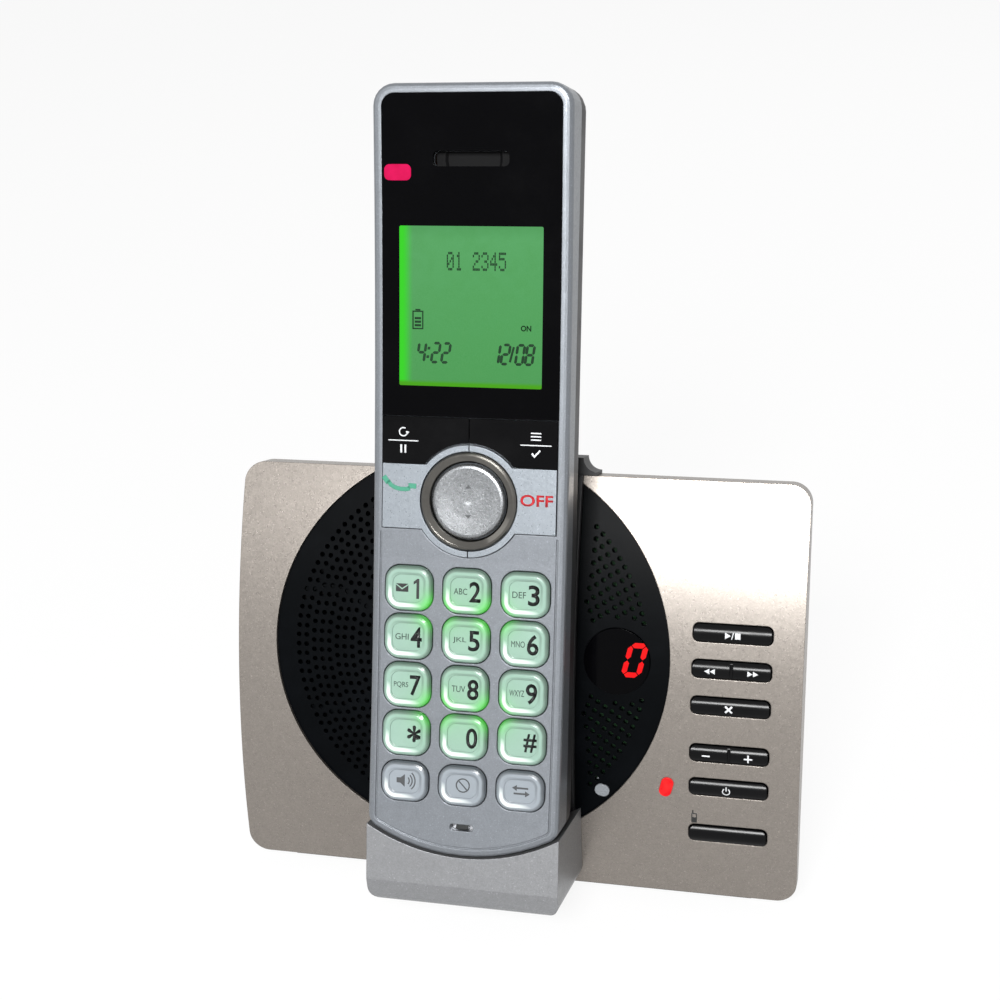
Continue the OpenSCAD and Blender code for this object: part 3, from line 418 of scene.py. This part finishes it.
def build_flake():
    """Fine metallic flake in a moulded colour: single bright and dark specks and soft clouds."""
    t, given, out = group("metallic_flake", {
        "Colour": ("color", (0.5, 0.5, 0.5, 1)), "Cell": ("float", 0.24), "Contrast": ("float", 0.16),
        "Roughness": ("float", 0.4)}, {"Colour": "color", "Roughness": "float", "Height": "float"})
    at = t.add("ShaderNodeTexCoord").outputs["Object"]
    scale = t.math("DIVIDE", 1 / MM, given.outputs["Cell"])
    speck = t.add("ShaderNodeSeparateColor")
    t.feed(speck, 0, t.cells(at, scale))
    cloud = t.noise(at, 420.0, 3.0)
    wide = t.noise(at, 18.0, 2.0)
    shade = t.math("ADD", t.math("MULTIPLY", t.math("SUBTRACT", speck.outputs[0], 0.5), 1.3),
                   t.math("MULTIPLY", t.math("SUBTRACT", cloud, 0.5), 1.0))
    shade = t.math("ADD", shade, t.math("MULTIPLY", t.math("SUBTRACT", wide, 0.5), 0.35))
    factor = t.math("ADD", t.math("MULTIPLY", shade, given.outputs["Contrast"]), 1.0)
    spark = t.spread(speck.outputs[1], 0.965, 1.0, 0.0, 0.35)
    factor = t.math("ADD", factor, spark)
    colour = t.add("ShaderNodeVectorMath", operation="SCALE")
    t.feed(colour, 0, given.outputs["Colour"])
    t.feed(colour, "Scale", factor)
    rough = t.math("ADD", given.outputs["Roughness"],
                   t.math("MULTIPLY", t.math("SUBTRACT", speck.outputs[2], 0.5), 0.14), clamp=True)
    t.feed(out, "Colour", colour.outputs[0])
    t.feed(out, "Roughness", rough)
    t.feed(out, "Height", speck.outputs[2])
    return t.tree


def build_grain():
    """Moulded plastic or rubber: faint two-tone mottling, a fine grain and touch marks in the gloss."""
    t, given, out = group("moulded_grain", {
        "Colour": ("color", (0.1, 0.1, 0.1, 1)), "Worn Colour": ("color", (0.15, 0.15, 0.15, 1)),
        "Grain Size": ("float", 0.3), "Roughness": ("float", 0.4), "Touch Marks": ("float", 0.1)},
        {"Colour": "color", "Roughness": "float", "Height": "float"})
    at = t.add("ShaderNodeTexCoord").outputs["Object"]
    grain = t.noise(at, t.math("DIVIDE", 1 / MM, given.outputs["Grain Size"]), 2.0)
    wide = t.noise(at, 55.0, 4.0, 0.6)
    marks = t.spread(wide, 0.42, 0.68, smooth=True)
    t.feed(out, "Colour", t.mix(t.math("MULTIPLY", t.math("ADD", grain, marks), 0.5), given.outputs["Colour"],
                                given.outputs["Worn Colour"]))
    rough = t.math("ADD", given.outputs["Roughness"], t.math("MULTIPLY", marks, given.outputs["Touch Marks"]))
    t.feed(out, "Roughness", t.math("ADD", rough, t.math("MULTIPLY", grain, 0.04), clamp=True))
    t.feed(out, "Height", grain)
    return t.tree


def build_handset_place():
    """A point of a handset piece as millimetres across, into and along the handset."""
    t, given, out = group("handset_place", {}, {"Place": "vector"})
    at = t.add("ShaderNodeTexCoord").outputs["Object"]
    back = t.vector("SUBTRACT", at, tuple(PANEL.translation))
    turn = t.add("ShaderNodeVectorRotate", rotation_type="X_AXIS")
    t.feed(turn, "Vector", back)
    t.feed(turn, "Angle", radians(LEAN))
    moved = t.vector("SUBTRACT", turn.outputs[0], (DOCK_X * MM, -FACE_OUT * MM, DOCK_Z * MM))
    t.feed(out, "Place", t.vector("MULTIPLY", moved, (1 / MM, 1 / MM, 1 / MM)))
    return t.tree


# Places of the lamps under the keypad, across and along the handset, in millimetres
LAMPS_UNDER_KEYS = [(-7.2, 57.4), (6.6, 57.2), (-6.9, 34.6), (6.7, 34.4)]


def build_key_glow(place_tree):
    """Light that the lamps under the keypad send into the keys, strongest beside each lamp."""
    t, given, out = group("key_glow", {"Reach": ("float", 4.2)}, {"Glow": "float", "Haze": "float"})
    place = t.add("ShaderNodeGroup", node_tree=place_tree).outputs["Place"]
    flat = t.vector("MULTIPLY", place, (1, 0, 1))
    total, haze = 0.0, 0.0
    for x, z in LAMPS_UNDER_KEYS:
        distance = t.vector("DISTANCE", flat, (x, 0, z))
        ratio = t.math("DIVIDE", distance, given.outputs["Reach"])
        square = t.math("MULTIPLY", ratio, ratio)
        total = t.math("ADD", total, t.math("EXPONENT", t.math("MULTIPLY", square, -0.8)))
        haze = t.math("ADD", haze, t.math("EXPONENT", t.math("MULTIPLY", square, -0.16)))
    t.feed(out, "Glow", t.math("MINIMUM", total, 1.0))
    t.feed(out, "Haze", t.math("MINIMUM", haze, 1.0))
    return t.tree


def build_key_edge(place_tree):
    """How far in from a dial key's outline a point lies, and which way it faces from the key's middle."""
    t, given, out = group("key_edge", {"Half Height": ("float", KEY_HALF[1])},
                          {"Depth": "float", "Upper Right": "float"})
    parts = t.add("ShaderNodeSeparateXYZ")
    t.feed(parts, 0, t.add("ShaderNodeGroup", node_tree=place_tree).outputs["Place"])
    across = t.wrap(parts.outputs[0], KEY_PX)
    along = t.wrap(t.math("SUBTRACT", parts.outputs[2], KEY_TOP_Z), KEY_PZ)
    corner_x = t.math("SUBTRACT", t.math("ABSOLUTE", across), KEY_HALF[0] - KEY_CORNER)
    corner_z = t.math("SUBTRACT", t.math("ABSOLUTE", along),
                      t.math("SUBTRACT", given.outputs["Half Height"], KEY_CORNER))
    corner = t.add("ShaderNodeCombineXYZ")
    t.feed(corner, 0, t.math("MAXIMUM", corner_x, 0.0))
    t.feed(corner, 2, t.math("MAXIMUM", corner_z, 0.0))
    outside = t.vector("LENGTH", corner.outputs[0], (0, 0, 0))
    inside = t.math("MINIMUM", t.math("MAXIMUM", corner_x, corner_z), 0.0)
    t.feed(out, "Depth", t.math("SUBTRACT", KEY_CORNER, t.math("ADD", outside, inside)))
    t.feed(out, "Upper Right", t.math("ADD", t.math("MULTIPLY", across, 0.1), t.math("MULTIPLY", along, 0.17)))
    return t.tree


FLAKE = build_flake()
GRAIN = build_grain()
HANDSET_PLACE = build_handset_place()
KEY_GLOW = build_key_glow(HANDSET_PLACE)
KEY_EDGE = build_key_edge(HANDSET_PLACE)


# Finishes

RELIEF_DEPTH = 0.02
BEVEL_SAMPLES = 6
UNLIT = (0.0, 0.0, 0.0, 1)


def start(name):
    material = bpy.data.materials.new(name)
    material.use_nodes = True
    t = Tree(material.node_tree)
    shader = material.node_tree.nodes["Principled BSDF"]
    return material, t, shader


def relief(t, shader, height, strength, edge):
    """Fine surface height over edges rounded by a small radius, in millimetres."""
    bevel = t.add("ShaderNodeBevel", samples=BEVEL_SAMPLES)
    bevel.inputs["Radius"].default_value = edge * MM
    bump = t.add("ShaderNodeBump")
    t.feed(bump, "Strength", strength)
    t.feed(bump, "Distance", RELIEF_DEPTH * MM)
    t.feed(bump, "Height", height)
    t.feed(bump, "Normal", bevel.outputs[0])
    t.feed(shader, "Normal", bump.outputs[0])


def flaked(name, colour, cell=0.24, contrast=0.16, roughness=0.4, metallic=0.6, edge=0.25, strength=0.25):
    material, t, shader = start(name)
    node = t.add("ShaderNodeGroup", node_tree=FLAKE)
    t.feed(node, "Colour", colour)
    t.feed(node, "Cell", cell)
    t.feed(node, "Contrast", contrast)
    t.feed(node, "Roughness", roughness)
    t.feed(shader, "Base Color", node.outputs["Colour"])
    t.feed(shader, "Roughness", node.outputs["Roughness"])
    shader.inputs["Metallic"].default_value = metallic
    relief(t, shader, node.outputs["Height"], strength, edge)
    return material


def two_tone_shell():
    """The handset's front shell: silver flake in front, moulded black towards the back shell."""
    material, t, shader = start("silver_flake_handset")
    flake = t.add("ShaderNodeGroup", node_tree=FLAKE)
    t.feed(flake, "Colour", linear("6f7378"))
    t.feed(flake, "Cell", 0.22)
    t.feed(flake, "Contrast", 0.12)
    t.feed(flake, "Roughness", 0.36)
    grain = t.add("ShaderNodeGroup", node_tree=GRAIN)
    t.feed(grain, "Colour", linear("0c0c0e"))
    t.feed(grain, "Worn Colour", linear("17171a"))
    t.feed(grain, "Roughness", 0.45)
    place = t.add("ShaderNodeGroup", node_tree=HANDSET_PLACE).outputs["Place"]
    parts = t.add("ShaderNodeSeparateXYZ")
    t.feed(parts, 0, place)
    black = t.spread(parts.outputs[1], SILVER_DEPTH - 0.08, SILVER_DEPTH + 0.08, smooth=True)
    t.feed(shader, "Base Color", t.mix(black, flake.outputs["Colour"], grain.outputs["Colour"]))
    t.feed(shader, "Roughness", t.spread(black, 0, 1, flake.outputs["Roughness"], grain.outputs["Roughness"]))
    t.feed(shader, "Metallic", t.spread(black, 0, 1, 0.6, 0.0))
    relief(t, shader, flake.outputs["Height"], 0.25, 0.3)
    return material


def moulded(name, colour, worn, grain=0.3, roughness=0.4, marks=0.1, edge=0.2, strength=0.2,
            specular=0.5, metallic=0.0):
    material, t, shader = start(name)
    node = t.add("ShaderNodeGroup", node_tree=GRAIN)
    t.feed(node, "Colour", colour)
    t.feed(node, "Worn Colour", worn)
    t.feed(node, "Grain Size", grain)
    t.feed(node, "Roughness", roughness)
    t.feed(node, "Touch Marks", marks)
    t.feed(shader, "Base Color", node.outputs["Colour"])
    t.feed(shader, "Roughness", node.outputs["Roughness"])
    shader.inputs["Specular IOR Level"].default_value = specular
    shader.inputs["Metallic"].default_value = metallic
    relief(t, shader, node.outputs["Height"], strength, edge)
    return material


def glowing(name, colour, edge_colour, strength, size):
    """A lamp or lit mark, with uneven brightness."""
    material, t, shader = start(name)
    at = t.add("ShaderNodeTexCoord").outputs["Object"]
    uneven = t.spread(t.noise(at, 1 / (size * MM), 2.0), 0.3, 0.7)
    lit = t.mix(uneven, edge_colour, colour)
    t.feed(shader, "Base Color", t.mix(0.92, lit, UNLIT))
    t.feed(shader, "Emission Color", lit)
    shader.inputs["Emission Strength"].default_value = strength
    shader.inputs["Roughness"].default_value = 0.3
    shader.inputs["Specular IOR Level"].default_value = 0.06
    return material


def lit_key(name, colour, shade_colour, half_height, glow_amount):
    """Milky key: a dark rim and step at the upper right that are painted shade, a pale band at the lower left that
    is a painted highlight, green where a lamp is near.
    """
    material, t, shader = start(name)
    grain = t.add("ShaderNodeGroup", node_tree=GRAIN)
    t.feed(grain, "Colour", colour)
    t.feed(grain, "Worn Colour", tuple(c * 1.12 for c in colour[:3]) + (1,))
    t.feed(grain, "Grain Size", 0.5)
    t.feed(grain, "Roughness", 0.16)
    t.feed(grain, "Touch Marks", 0.08)
    edge = t.add("ShaderNodeGroup", node_tree=KEY_EDGE)
    t.feed(edge, "Half Height", half_height)
    depth, facing = edge.outputs["Depth"], edge.outputs["Upper Right"]
    glow = t.add("ShaderNodeGroup", node_tree=KEY_GLOW)
    t.feed(glow, "Reach", 3.3)
    near = t.math("MULTIPLY", glow.outputs["Glow"], t.spread(depth, 1.4, 3.2, glow_amount, glow_amount * 0.4))
    haze = t.math("MULTIPLY", glow.outputs["Haze"], glow_amount * 0.28)
    tinted = t.mix(haze, grain.outputs["Colour"], linear("67a06a"))
    # Painted shade: the outer rim darkens, most towards the upper right, and the step darkens at the upper right,
    # in the given shade colour
    outer_shade = t.math("MULTIPLY", t.spread(depth, KEY_RIM / 2, KEY_RIM, 1.0, 0.0, smooth=True),
                   t.spread(facing, -0.7, 0.5, 0.3, 0.85))
    from_step = t.math("ABSOLUTE", t.math("SUBTRACT", depth, KEY_STEP))
    step_shade = t.math("MULTIPLY", t.spread(from_step, 0.1, 0.4, 1.0, 0.0),
                   t.spread(facing, -0.2, 0.6, 0.0, 0.5))
    tinted = t.mix(t.math("MAXIMUM", outer_shade, step_shade), tinted, shade_colour)
    # Painted highlight: a pale band inside the outline, towards the lower left
    from_band = t.math("ABSOLUTE", t.math("SUBTRACT", depth, KEY_BAND))
    band = t.spread(from_band, 0.2, 0.6, 1.0, 0.0, smooth=True)
    painted_highlight = t.math("MULTIPLY", band, t.spread(facing, -0.3, -0.8, 0.0, 0.8))
    tinted = t.mix(painted_highlight, tinted, linear("eef4ef"))
    tinted = t.mix(t.math("MULTIPLY", near, 0.95), tinted, linear("2fa80f"))
    t.feed(shader, "Base Color", tinted)
    lamp = t.mix(near, (0.0, 0.002, 0.001, 1), (0.02, 0.3, 0.002, 1))
    t.feed(shader, "Emission Color", lamp)
    shader.inputs["Emission Strength"].default_value = 0.9 if glow_amount else 0.0
    shader.inputs["Coat Weight"].default_value = 0.3
    shader.inputs["Coat Roughness"].default_value = 0.08
    t.feed(shader, "Roughness", grain.outputs["Roughness"])
    relief(t, shader, grain.outputs["Height"], 0.12, 0.3)
    return material


def backlit_window():
    """Backlit display: even green with a brighter band at the left and lower edges."""
    material, t, shader = start("display_backlight")
    place = t.add("ShaderNodeGroup", node_tree=HANDSET_PLACE).outputs["Place"]
    parts = t.add("ShaderNodeSeparateXYZ")
    t.feed(parts, 0, place)
    left = t.spread(parts.outputs[0], -LCD_W / 2 + 0.6, -LCD_W / 2 + 3.4, 1.0, 0.0, smooth=True)
    bottom = t.spread(parts.outputs[2], LCD_Z - LCD_H / 2 + 0.5, LCD_Z - LCD_H / 2 + 1.5, 1.0, 0.0, smooth=True)
    top = t.spread(parts.outputs[2], LCD_Z + LCD_H / 2 - 3.5, LCD_Z + LCD_H / 2, 0.0, 0.35, smooth=True)
    rise = t.spread(parts.outputs[2], LCD_Z - LCD_H / 2, LCD_Z + LCD_H / 2)
    cloud = t.noise(place, 0.35, 2.0)
    speckle = t.noise(place, 5.0, 1.0)
    middle = t.mix(rise, linear("4fa157"), linear("60b06c"))
    middle = t.mix(t.spread(cloud, 0.35, 0.65, 0.0, 0.4), middle, linear("55a55c"))
    middle = t.mix(t.spread(speckle, 0.3, 0.7, 0.0, 0.25), middle, linear("6cba76"))
    middle = t.mix(top, middle, linear("4a9553"))
    lit = t.mix(left, middle, linear("3ee02c"))
    lit = t.mix(bottom, lit, linear("4fae1c"))
    t.feed(shader, "Base Color", t.mix(0.93, lit, UNLIT))
    t.feed(shader, "Emission Color", lit)
    shader.inputs["Emission Strength"].default_value = 0.74
    shader.inputs["Roughness"].default_value = 0.12
    shader.inputs["Specular IOR Level"].default_value = 0.08
    return material


SILVER = flaked("silver_flake", linear("807a74"), cell=0.26, contrast=0.13, roughness=0.34, metallic=0.75)
CHIN_SILVER = flaked("silver_flake_chin", linear("7f8082"), cell=0.26, contrast=0.13, roughness=0.4, metallic=0.6)
HAND_SILVER = two_tone_shell()
PLATE_SILVER = flaked("silver_plate", linear("80868c"), cell=0.2, contrast=0.08, roughness=0.34, metallic=0.6,
                      edge=0.15)
NAV_METAL = flaked("speckled_metal", linear("797b7d"), cell=0.2, contrast=0.34, roughness=0.32, metallic=0.9,
                   strength=0.5)
GRILLE_BLACK = moulded("grille_black", linear("020304"), linear("06080b"), grain=0.25, roughness=0.34,
                       edge=0.12, specular=0.035)
CASE_BLACK = moulded("case_black", linear("0c0c0e"), linear("17171a"), grain=0.22, roughness=0.5, strength=0.4)
LENS_BLACK = moulded("lens_black", linear("010102"), linear("030304"), grain=0.8, roughness=0.05, marks=0.08,
                     strength=0.02, specular=0.05, edge=0.1)
SOFT_BLACK = moulded("soft_key_black", linear("020203"), linear("050506"), grain=0.4, roughness=0.12, marks=0.1,
                     strength=0.05, specular=0.09, edge=0.15)
BAR_BLACK = moulded("bar_black", linear("020203"), linear("050506"), grain=0.4, roughness=0.16, marks=0.08,
                    strength=0.05, specular=0.14, edge=0.3)
BRIGHT_RING = moulded("bright_ring", linear("5a5855"), linear("6e6c67"), grain=0.6, roughness=0.1, marks=0.1,
                      strength=0.05, metallic=1.0, edge=0.12)
CONTACT = moulded("contact_strip", linear("c0b9a6"), linear("a59d8a"), grain=0.3, roughness=0.22, marks=0.15,
                  strength=0.1, metallic=1.0, edge=0.08)
SCREW = moulded("zinc_screw", linear("8e8f93"), linear("a7a8ab"), grain=0.2, roughness=0.35, metallic=1.0)
RUBBER = moulded("foot_rubber", linear("161617"), linear("242425"), grain=0.35, roughness=0.75, strength=0.5)
MILKY = moulded("milky_silicone", linear("a9b3ae"), linear("bcc5c0"), grain=0.5, roughness=0.45)
BOARD = moulded("board_green", linear("14401f"), linear("1e5a2c"), grain=0.6, roughness=0.35)
DRIVER = moulded("driver_black", linear("060607"), linear("0b0b0c"), grain=0.4, roughness=0.6, strength=0.5,
                 specular=0.1)
CELL = moulded("cell_wrap", linear("1c6a3a"), linear("2a7a49"), grain=0.7, roughness=0.25)
CLEAR_LIGHT = moulded("clear_light", linear("6d7175"), linear("83878b"), grain=0.4, roughness=0.25)
# The darker colour given to each key is the painted shade of its rim and step
LIT_KEY = lit_key("lit_key", linear("7b9589"), linear("4b5d52"), KEY_HALF[1], 1.0)
CLEAR_KEY = lit_key("clear_key", linear("7b8288"), linear("42474b"), KEY_LOW_HALF, 0.0)
BACKLIGHT = backlit_window()
RED_LIT = glowing("red_lit", (1.0, 0.012, 0.012, 1), (0.85, 0.006, 0.01, 1), 1.0, size=1.5)
RED_LAMP = glowing("red_lamp", (1.0, 0.03, 0.03, 1), (0.85, 0.008, 0.015, 1), 0.95, size=1.6)
PINK_LAMP = glowing("pink_lamp", linear("ee1463"), linear("d80a52"), 0.9, size=3.0)
INK_BLACK = moulded("ink_black", linear("0b0d0d"), linear("171a1a"), grain=0.3, roughness=0.35)
INK_GREY = moulded("ink_grey", linear("2f3c35"), linear("3d4a43"), grain=0.3, roughness=0.4, specular=0.2)
INK_DARK = moulded("ink_dark_grey", linear("2d2f31"), linear("3e4042"), grain=0.3, roughness=0.4)
INK_WHITE = moulded("ink_white", linear("c9cbcd"), linear("b4b7b9"), grain=0.3, roughness=0.4)
INK_RED = moulded("ink_red", linear("c8202a"), linear("b81a24"), grain=0.3, roughness=0.4)
INK_GREEN = moulded("ink_green", linear("25735a"), linear("2f7f66"), grain=0.3, roughness=0.4)
INK_DISPLAY = moulded("ink_display", linear("0a2412"), linear("0f2e18"), grain=0.3, roughness=0.3, specular=0.1)
DISPLAY_OFF = moulded("display_off", linear("120405"), linear("1b0708"), grain=0.5, roughness=0.2)

KEY_NAMES = [f"key_{name}" for name in
             "1 2 3 4 5 6 7 8 9 star 0 hash speaker mute intercom".split()]
FINISHES = {
    SILVER: ["faceplate"],
    CHIN_SILVER: ["cradle_chin"],
    HAND_SILVER: ["handset_front"],
    PLATE_SILVER: ["talk_key", "off_key"],
    NAV_METAL: ["nav_key"],
    BRIGHT_RING: ["nav_ring"],
    GRILLE_BLACK: ["speaker_grille"],
    CASE_BLACK: ["handset_channel", "base_housing", "handset_back", "battery_cover", "line_socket", "power_socket"],
    LENS_BLACK: ["display_lens", "message_window"],
    SOFT_BLACK: ["soft_key_left", "soft_key_right"],
    BAR_BLACK: ["play_stop_key", "skip_rocker", "erase_key", "volume_rocker", "answer_on_key", "find_handset_key"],
    LIT_KEY: KEY_NAMES[:12],
    CLEAR_KEY: KEY_NAMES[12:],
    CONTACT: ["charge_spring_left", "charge_spring_right", "charge_plates"],
    SCREW: ["housing_screws", "microphone", "ringer"],
    RUBBER: ["rubber_feet"],
    MILKY: ["keypad_mat"],
    BOARD: ["base_board", "handset_board"],
    DRIVER: ["base_speaker", "earpiece"],
    CELL: ["battery_pack"],
    CLEAR_LIGHT: ["in_use_light"],
    RED_LAMP: ["answer_light"],
    PINK_LAMP: ["charge_light"],
    BACKLIGHT: ["lcd_module"],
    DISPLAY_OFF: ["message_display"],
}
for material, nodes in FINISHES.items():
    for node_name in nodes:
        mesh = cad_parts[node_name].data
        mesh.materials.clear()
        mesh.materials.append(material)


# Marks on the dial keys

FIGURE_X, ONE_X, LETTERS_X = 2.1, 2.0, -1.35
LETTER_HEIGHT = 1.45
LETTERS = {1: "ABC", 2: "DEF", 3: "GHI", 4: "JKL", 5: "MNO", 6: "PQRS", 7: "TUV", 8: "WXYZ"}
pad = on_flat(KEY_PAD)
for i, mark in enumerate("123456789*0#"):
    name = KEY_NAMES[i]
    w, h = {"*": (3.4, 4.0), "#": (3.1, 4.3)}.get(mark, (2.7, 4.8))
    if mark == "1":
        printed(f"{name}_figure", shifted(ONE, ONE_X, 0), key_place(i), pad, INK_BLACK, name)
    else:
        lettered(f"{name}_figure", mark, FIGURE_X, 0, w, h, key_place(i), pad, INK_BLACK, name,
                 bold=0.018)
    if i in LETTERS:
        lettered(f"{name}_letters", LETTERS[i], LETTERS_X, 0, 3.5 if len(LETTERS[i]) > 3 else 3.2, LETTER_HEIGHT,
                 key_place(i), pad, INK_GREY, name)
printed("key_1_envelope", ENVELOPE, key_place(0) @ move(-1.5, 0, 0.1), pad, INK_BLACK, "key_1")
for i, shape in ((12, LOUDSPEAKER), (13, SILENT), (14, BETWEEN)):
    printed(f"{KEY_NAMES[i]}_mark", shape, key_place(i) @ move(0.3, 0, 0.2), pad, INK_DARK, KEY_NAMES[i])

# Marks on the function keys

SOFT_X, SOFT_LINE_Z, SOFT_UPPER_Z, SOFT_LOWER_Z = 15.6, 96.9, 98.9, 95.0
TALK_MARK = (-16.6, 86.4)
OFF_WORD = (16.0, 84.3)
sheet = on_flat(-KEY_SHEET_PROUD)
for side, body, upper, lower in ((-1, "soft_key_left", AGAIN, PAUSE), (1, "soft_key_right", LIST, TICK)):
    printed(f"{body}_line", [box_at(0, 0, 7.2, 0.26)], at_face(side * SOFT_X, SOFT_LINE_Z), sheet, INK_WHITE, body)
    printed(f"{body}_upper", upper, at_face(side * SOFT_X, SOFT_UPPER_Z), sheet, INK_WHITE, body)
    printed(f"{body}_lower", lower, at_face(side * SOFT_X, SOFT_LOWER_Z), sheet, INK_WHITE, body)
printed("talk_key_receiver", RECEIVER, at_face(*TALK_MARK), sheet, INK_GREEN, "talk_key")
lettered("off_key_word", "OFF", 0, 0, 7.6, 2.7, at_face(*OFF_WORD), sheet, INK_RED, "off_key",
         bold=0.02)
# A dark sheet inside the microphone slot: painted shade for the shadow in the slot
printed("microphone_slot_shade", [round_box(0, 0, 3.0, 1.2, 0.4)], at_face(0, MIC_Z), on_flat(0.9), INK_BLACK, "handset")
for shape, z in ((UP_MARK, 3.4), (DOWN_MARK, -3.4)):
    printed("nav_key_mark_up" if z > 0 else "nav_key_mark_down", shifted(shape, 0, z), at_face(0, NAV_Z), on_nav,
            INK_DARK, "nav_key")

# Display of the handset


def on_lens(x, z):
    return face_y(z + LCD_Z) - LENS_PROUD


lcd_place = HAND @ move(0, 0, LCD_Z)
printed("display_picture", [round_box(0, 0, LCD_W, LCD_H, 0.4)], lcd_place, on_lens, BACKLIGHT, "handset",
        proud=0.04, sunk=0.04, strip=2.0)


def on_picture(x, z):
    return on_lens(x, z) - 0.04


for name, shape, x, z in (
        ("display_line_text", dot_figures("01 2345", 0.29, 0.55, 0.045), -5.4, 10.2),
        ("display_battery", BATTERY, -12.3, -2.9),
        ("display_time", seven_segments("4:22", 4.3, 0.62, 0.14, 2.4, 0.95, 0.37), -12.2, -10.4),
        ("display_date", seven_segments("12/08", 4.3, 0.62, 0.14, 2.25, 1.1, 0.37), 5.2, -10.4)):
    printed(name, shifted(shape, x, z), lcd_place, on_picture, INK_DISPLAY, "handset", proud=0.02,
            strip=2.0)
lettered("display_on_word", "ON", 12.9, -4.5, 2.4, 1.3, lcd_place, on_picture, INK_DISPLAY, "handset",
         bold=0.03, proud=0.02)

# Message counter

WINDOW_SINK = 0.2


def on_window(x, z):
    return bow_y(z + COUNT_Z) + WINDOW_SINK


printed("count_figure", shifted(seven_segments("0", 7.2, 1.25, 0.24, 6, 1), 2.6, 0.6),
        PANEL @ move(COUNT_X, 0, COUNT_Z), on_window, RED_LIT, "base", proud=0.04, strip=1.5)

# Marks on the base keys and the panel

BAR_MARK_DROP = 0.35
FINDER_MARK = (45.6, 20.7)
for name, shape, index, x, body in (
        ("play_stop_mark", PLAY_STOP, 0, 0.0, "play_stop_key"),
        ("rewind_mark", REWIND, 1, -5.1, "skip_rocker"),
        ("forward_mark", FORWARD, 1, 5.1, "skip_rocker"),
        ("erase_mark", [cross_shape(2.3, 0.5, 45)], 2, -0.3, "erase_key"),
        ("quieter_mark", [box_at(0, 0, 1.9, 0.4)], 3, -5.4, "volume_rocker"),
        ("louder_mark", [cross_shape(2.0, 0.4)], 3, 4.6, "volume_rocker"),
        ("power_mark", POWER, 4, -0.4, "answer_on_key")):
    printed(name, shifted(shape, x, -BAR_MARK_DROP), at_bow(BAR_X, BAR_Z[index]), on_bar, INK_WHITE, body,
            strip=0.35)
printed("finder_mark", FINDER, at_bow(*FINDER_MARK), on_flat(0), INK_BLACK, "base")

# Camera, fitted to the photograph

camera_data = bpy.data.cameras.new("camera")
camera_data.lens = 61.33
camera_data.sensor_width = 36
camera_data.clip_start = 0.01
camera = bpy.data.objects.new("camera", camera_data)
camera.matrix_world = Matrix((
    (0.97111, -0.04668, 0.23402, 0.092761),
    (0.23146, 0.42279, -0.87617, -0.355248),
    (-0.05804, 0.90502, 0.42138, 0.270520),
    (0, 0, 0, 1)))
bpy.context.scene.collection.objects.link(camera)
bpy.context.scene.camera = camera

# Floor, light and background


def build_floor():
    bm = bmesh.new()
    bmesh.ops.create_grid(bm, x_segments=8, y_segments=8, size=6)
    mesh = bpy.data.meshes.new("floor")
    bm.to_mesh(mesh)
    bm.free()
    floor = bpy.data.objects.new("floor", mesh)
    bpy.context.scene.collection.objects.link(floor)
    material, t, shader = start("floor_white")
    at = t.add("ShaderNodeTexCoord").outputs["Object"]
    t.feed(shader, "Base Color", t.mix(t.noise(at, 3.0), (0.86, 0.86, 0.86, 1), (0.88, 0.88, 0.88, 1)))
    shader.inputs["Roughness"].default_value = 0.9
    shader.inputs["Specular IOR Level"].default_value = 0.0
    path = t.add("ShaderNodeLightPath")
    seen = t.math("MAXIMUM", path.outputs["Is Camera Ray"],
                  t.math("MAXIMUM", path.outputs["Is Glossy Ray"], path.outputs["Is Transmission Ray"]))
    white = t.add("ShaderNodeEmission")
    blend = t.add("ShaderNodeMixShader")
    t.feed(blend, 0, t.math("MULTIPLY", seen, 0.9))
    t.tree.links.new(shader.outputs[0], blend.inputs[1])
    t.tree.links.new(white.outputs[0], blend.inputs[2])
    t.tree.links.new(blend.outputs[0], t.tree.nodes["Material Output"].inputs[0])
    mesh.materials.append(material)


def build_world():
    world = bpy.data.worlds.new("studio")
    world.use_nodes = True
    bpy.context.scene.world = world
    t = Tree(world.node_tree)
    path = t.add("ShaderNodeLightPath")
    seen = t.math("MAXIMUM", path.outputs["Is Camera Ray"],
                  t.math("MAXIMUM", path.outputs["Is Glossy Ray"], path.outputs["Is Transmission Ray"]))
    background = world.node_tree.nodes["Background"]
    t.feed(background, "Color", (1, 1, 1, 1))
    t.feed(background, "Strength", t.math("ADD", t.math("MULTIPLY", seen, 0.62), 0.38))


def soft_light(name, place, target, size, power):
    lamp = bpy.data.lights.new(name, "AREA")
    lamp.shape = "RECTANGLE"
    lamp.size, lamp.size_y = size
    lamp.energy = power
    holder = bpy.data.objects.new(name, lamp)
    holder.location = place
    aim = Vector(target) - Vector(place)
    holder.rotation_euler = aim.to_track_quat("-Z", "Y").to_euler()
    bpy.context.scene.collection.objects.link(holder)


build_floor()
build_world()
soft_light("light_above_front", (0.04, -0.85, 0.66), (0.05, 0, 0.09), (0.30, 0.24), 15.0)
soft_light("light_left", (-0.9, -0.6, 0.7), (0, 0, 0.08), (0.7, 0.7), 1.6)
soft_light("light_behind", (0.3, 0.9, 0.9), (0, 0, 0.08), (0.8, 0.6), 3.0)

scene = bpy.context.scene
scene.view_settings.view_transform = "Standard"
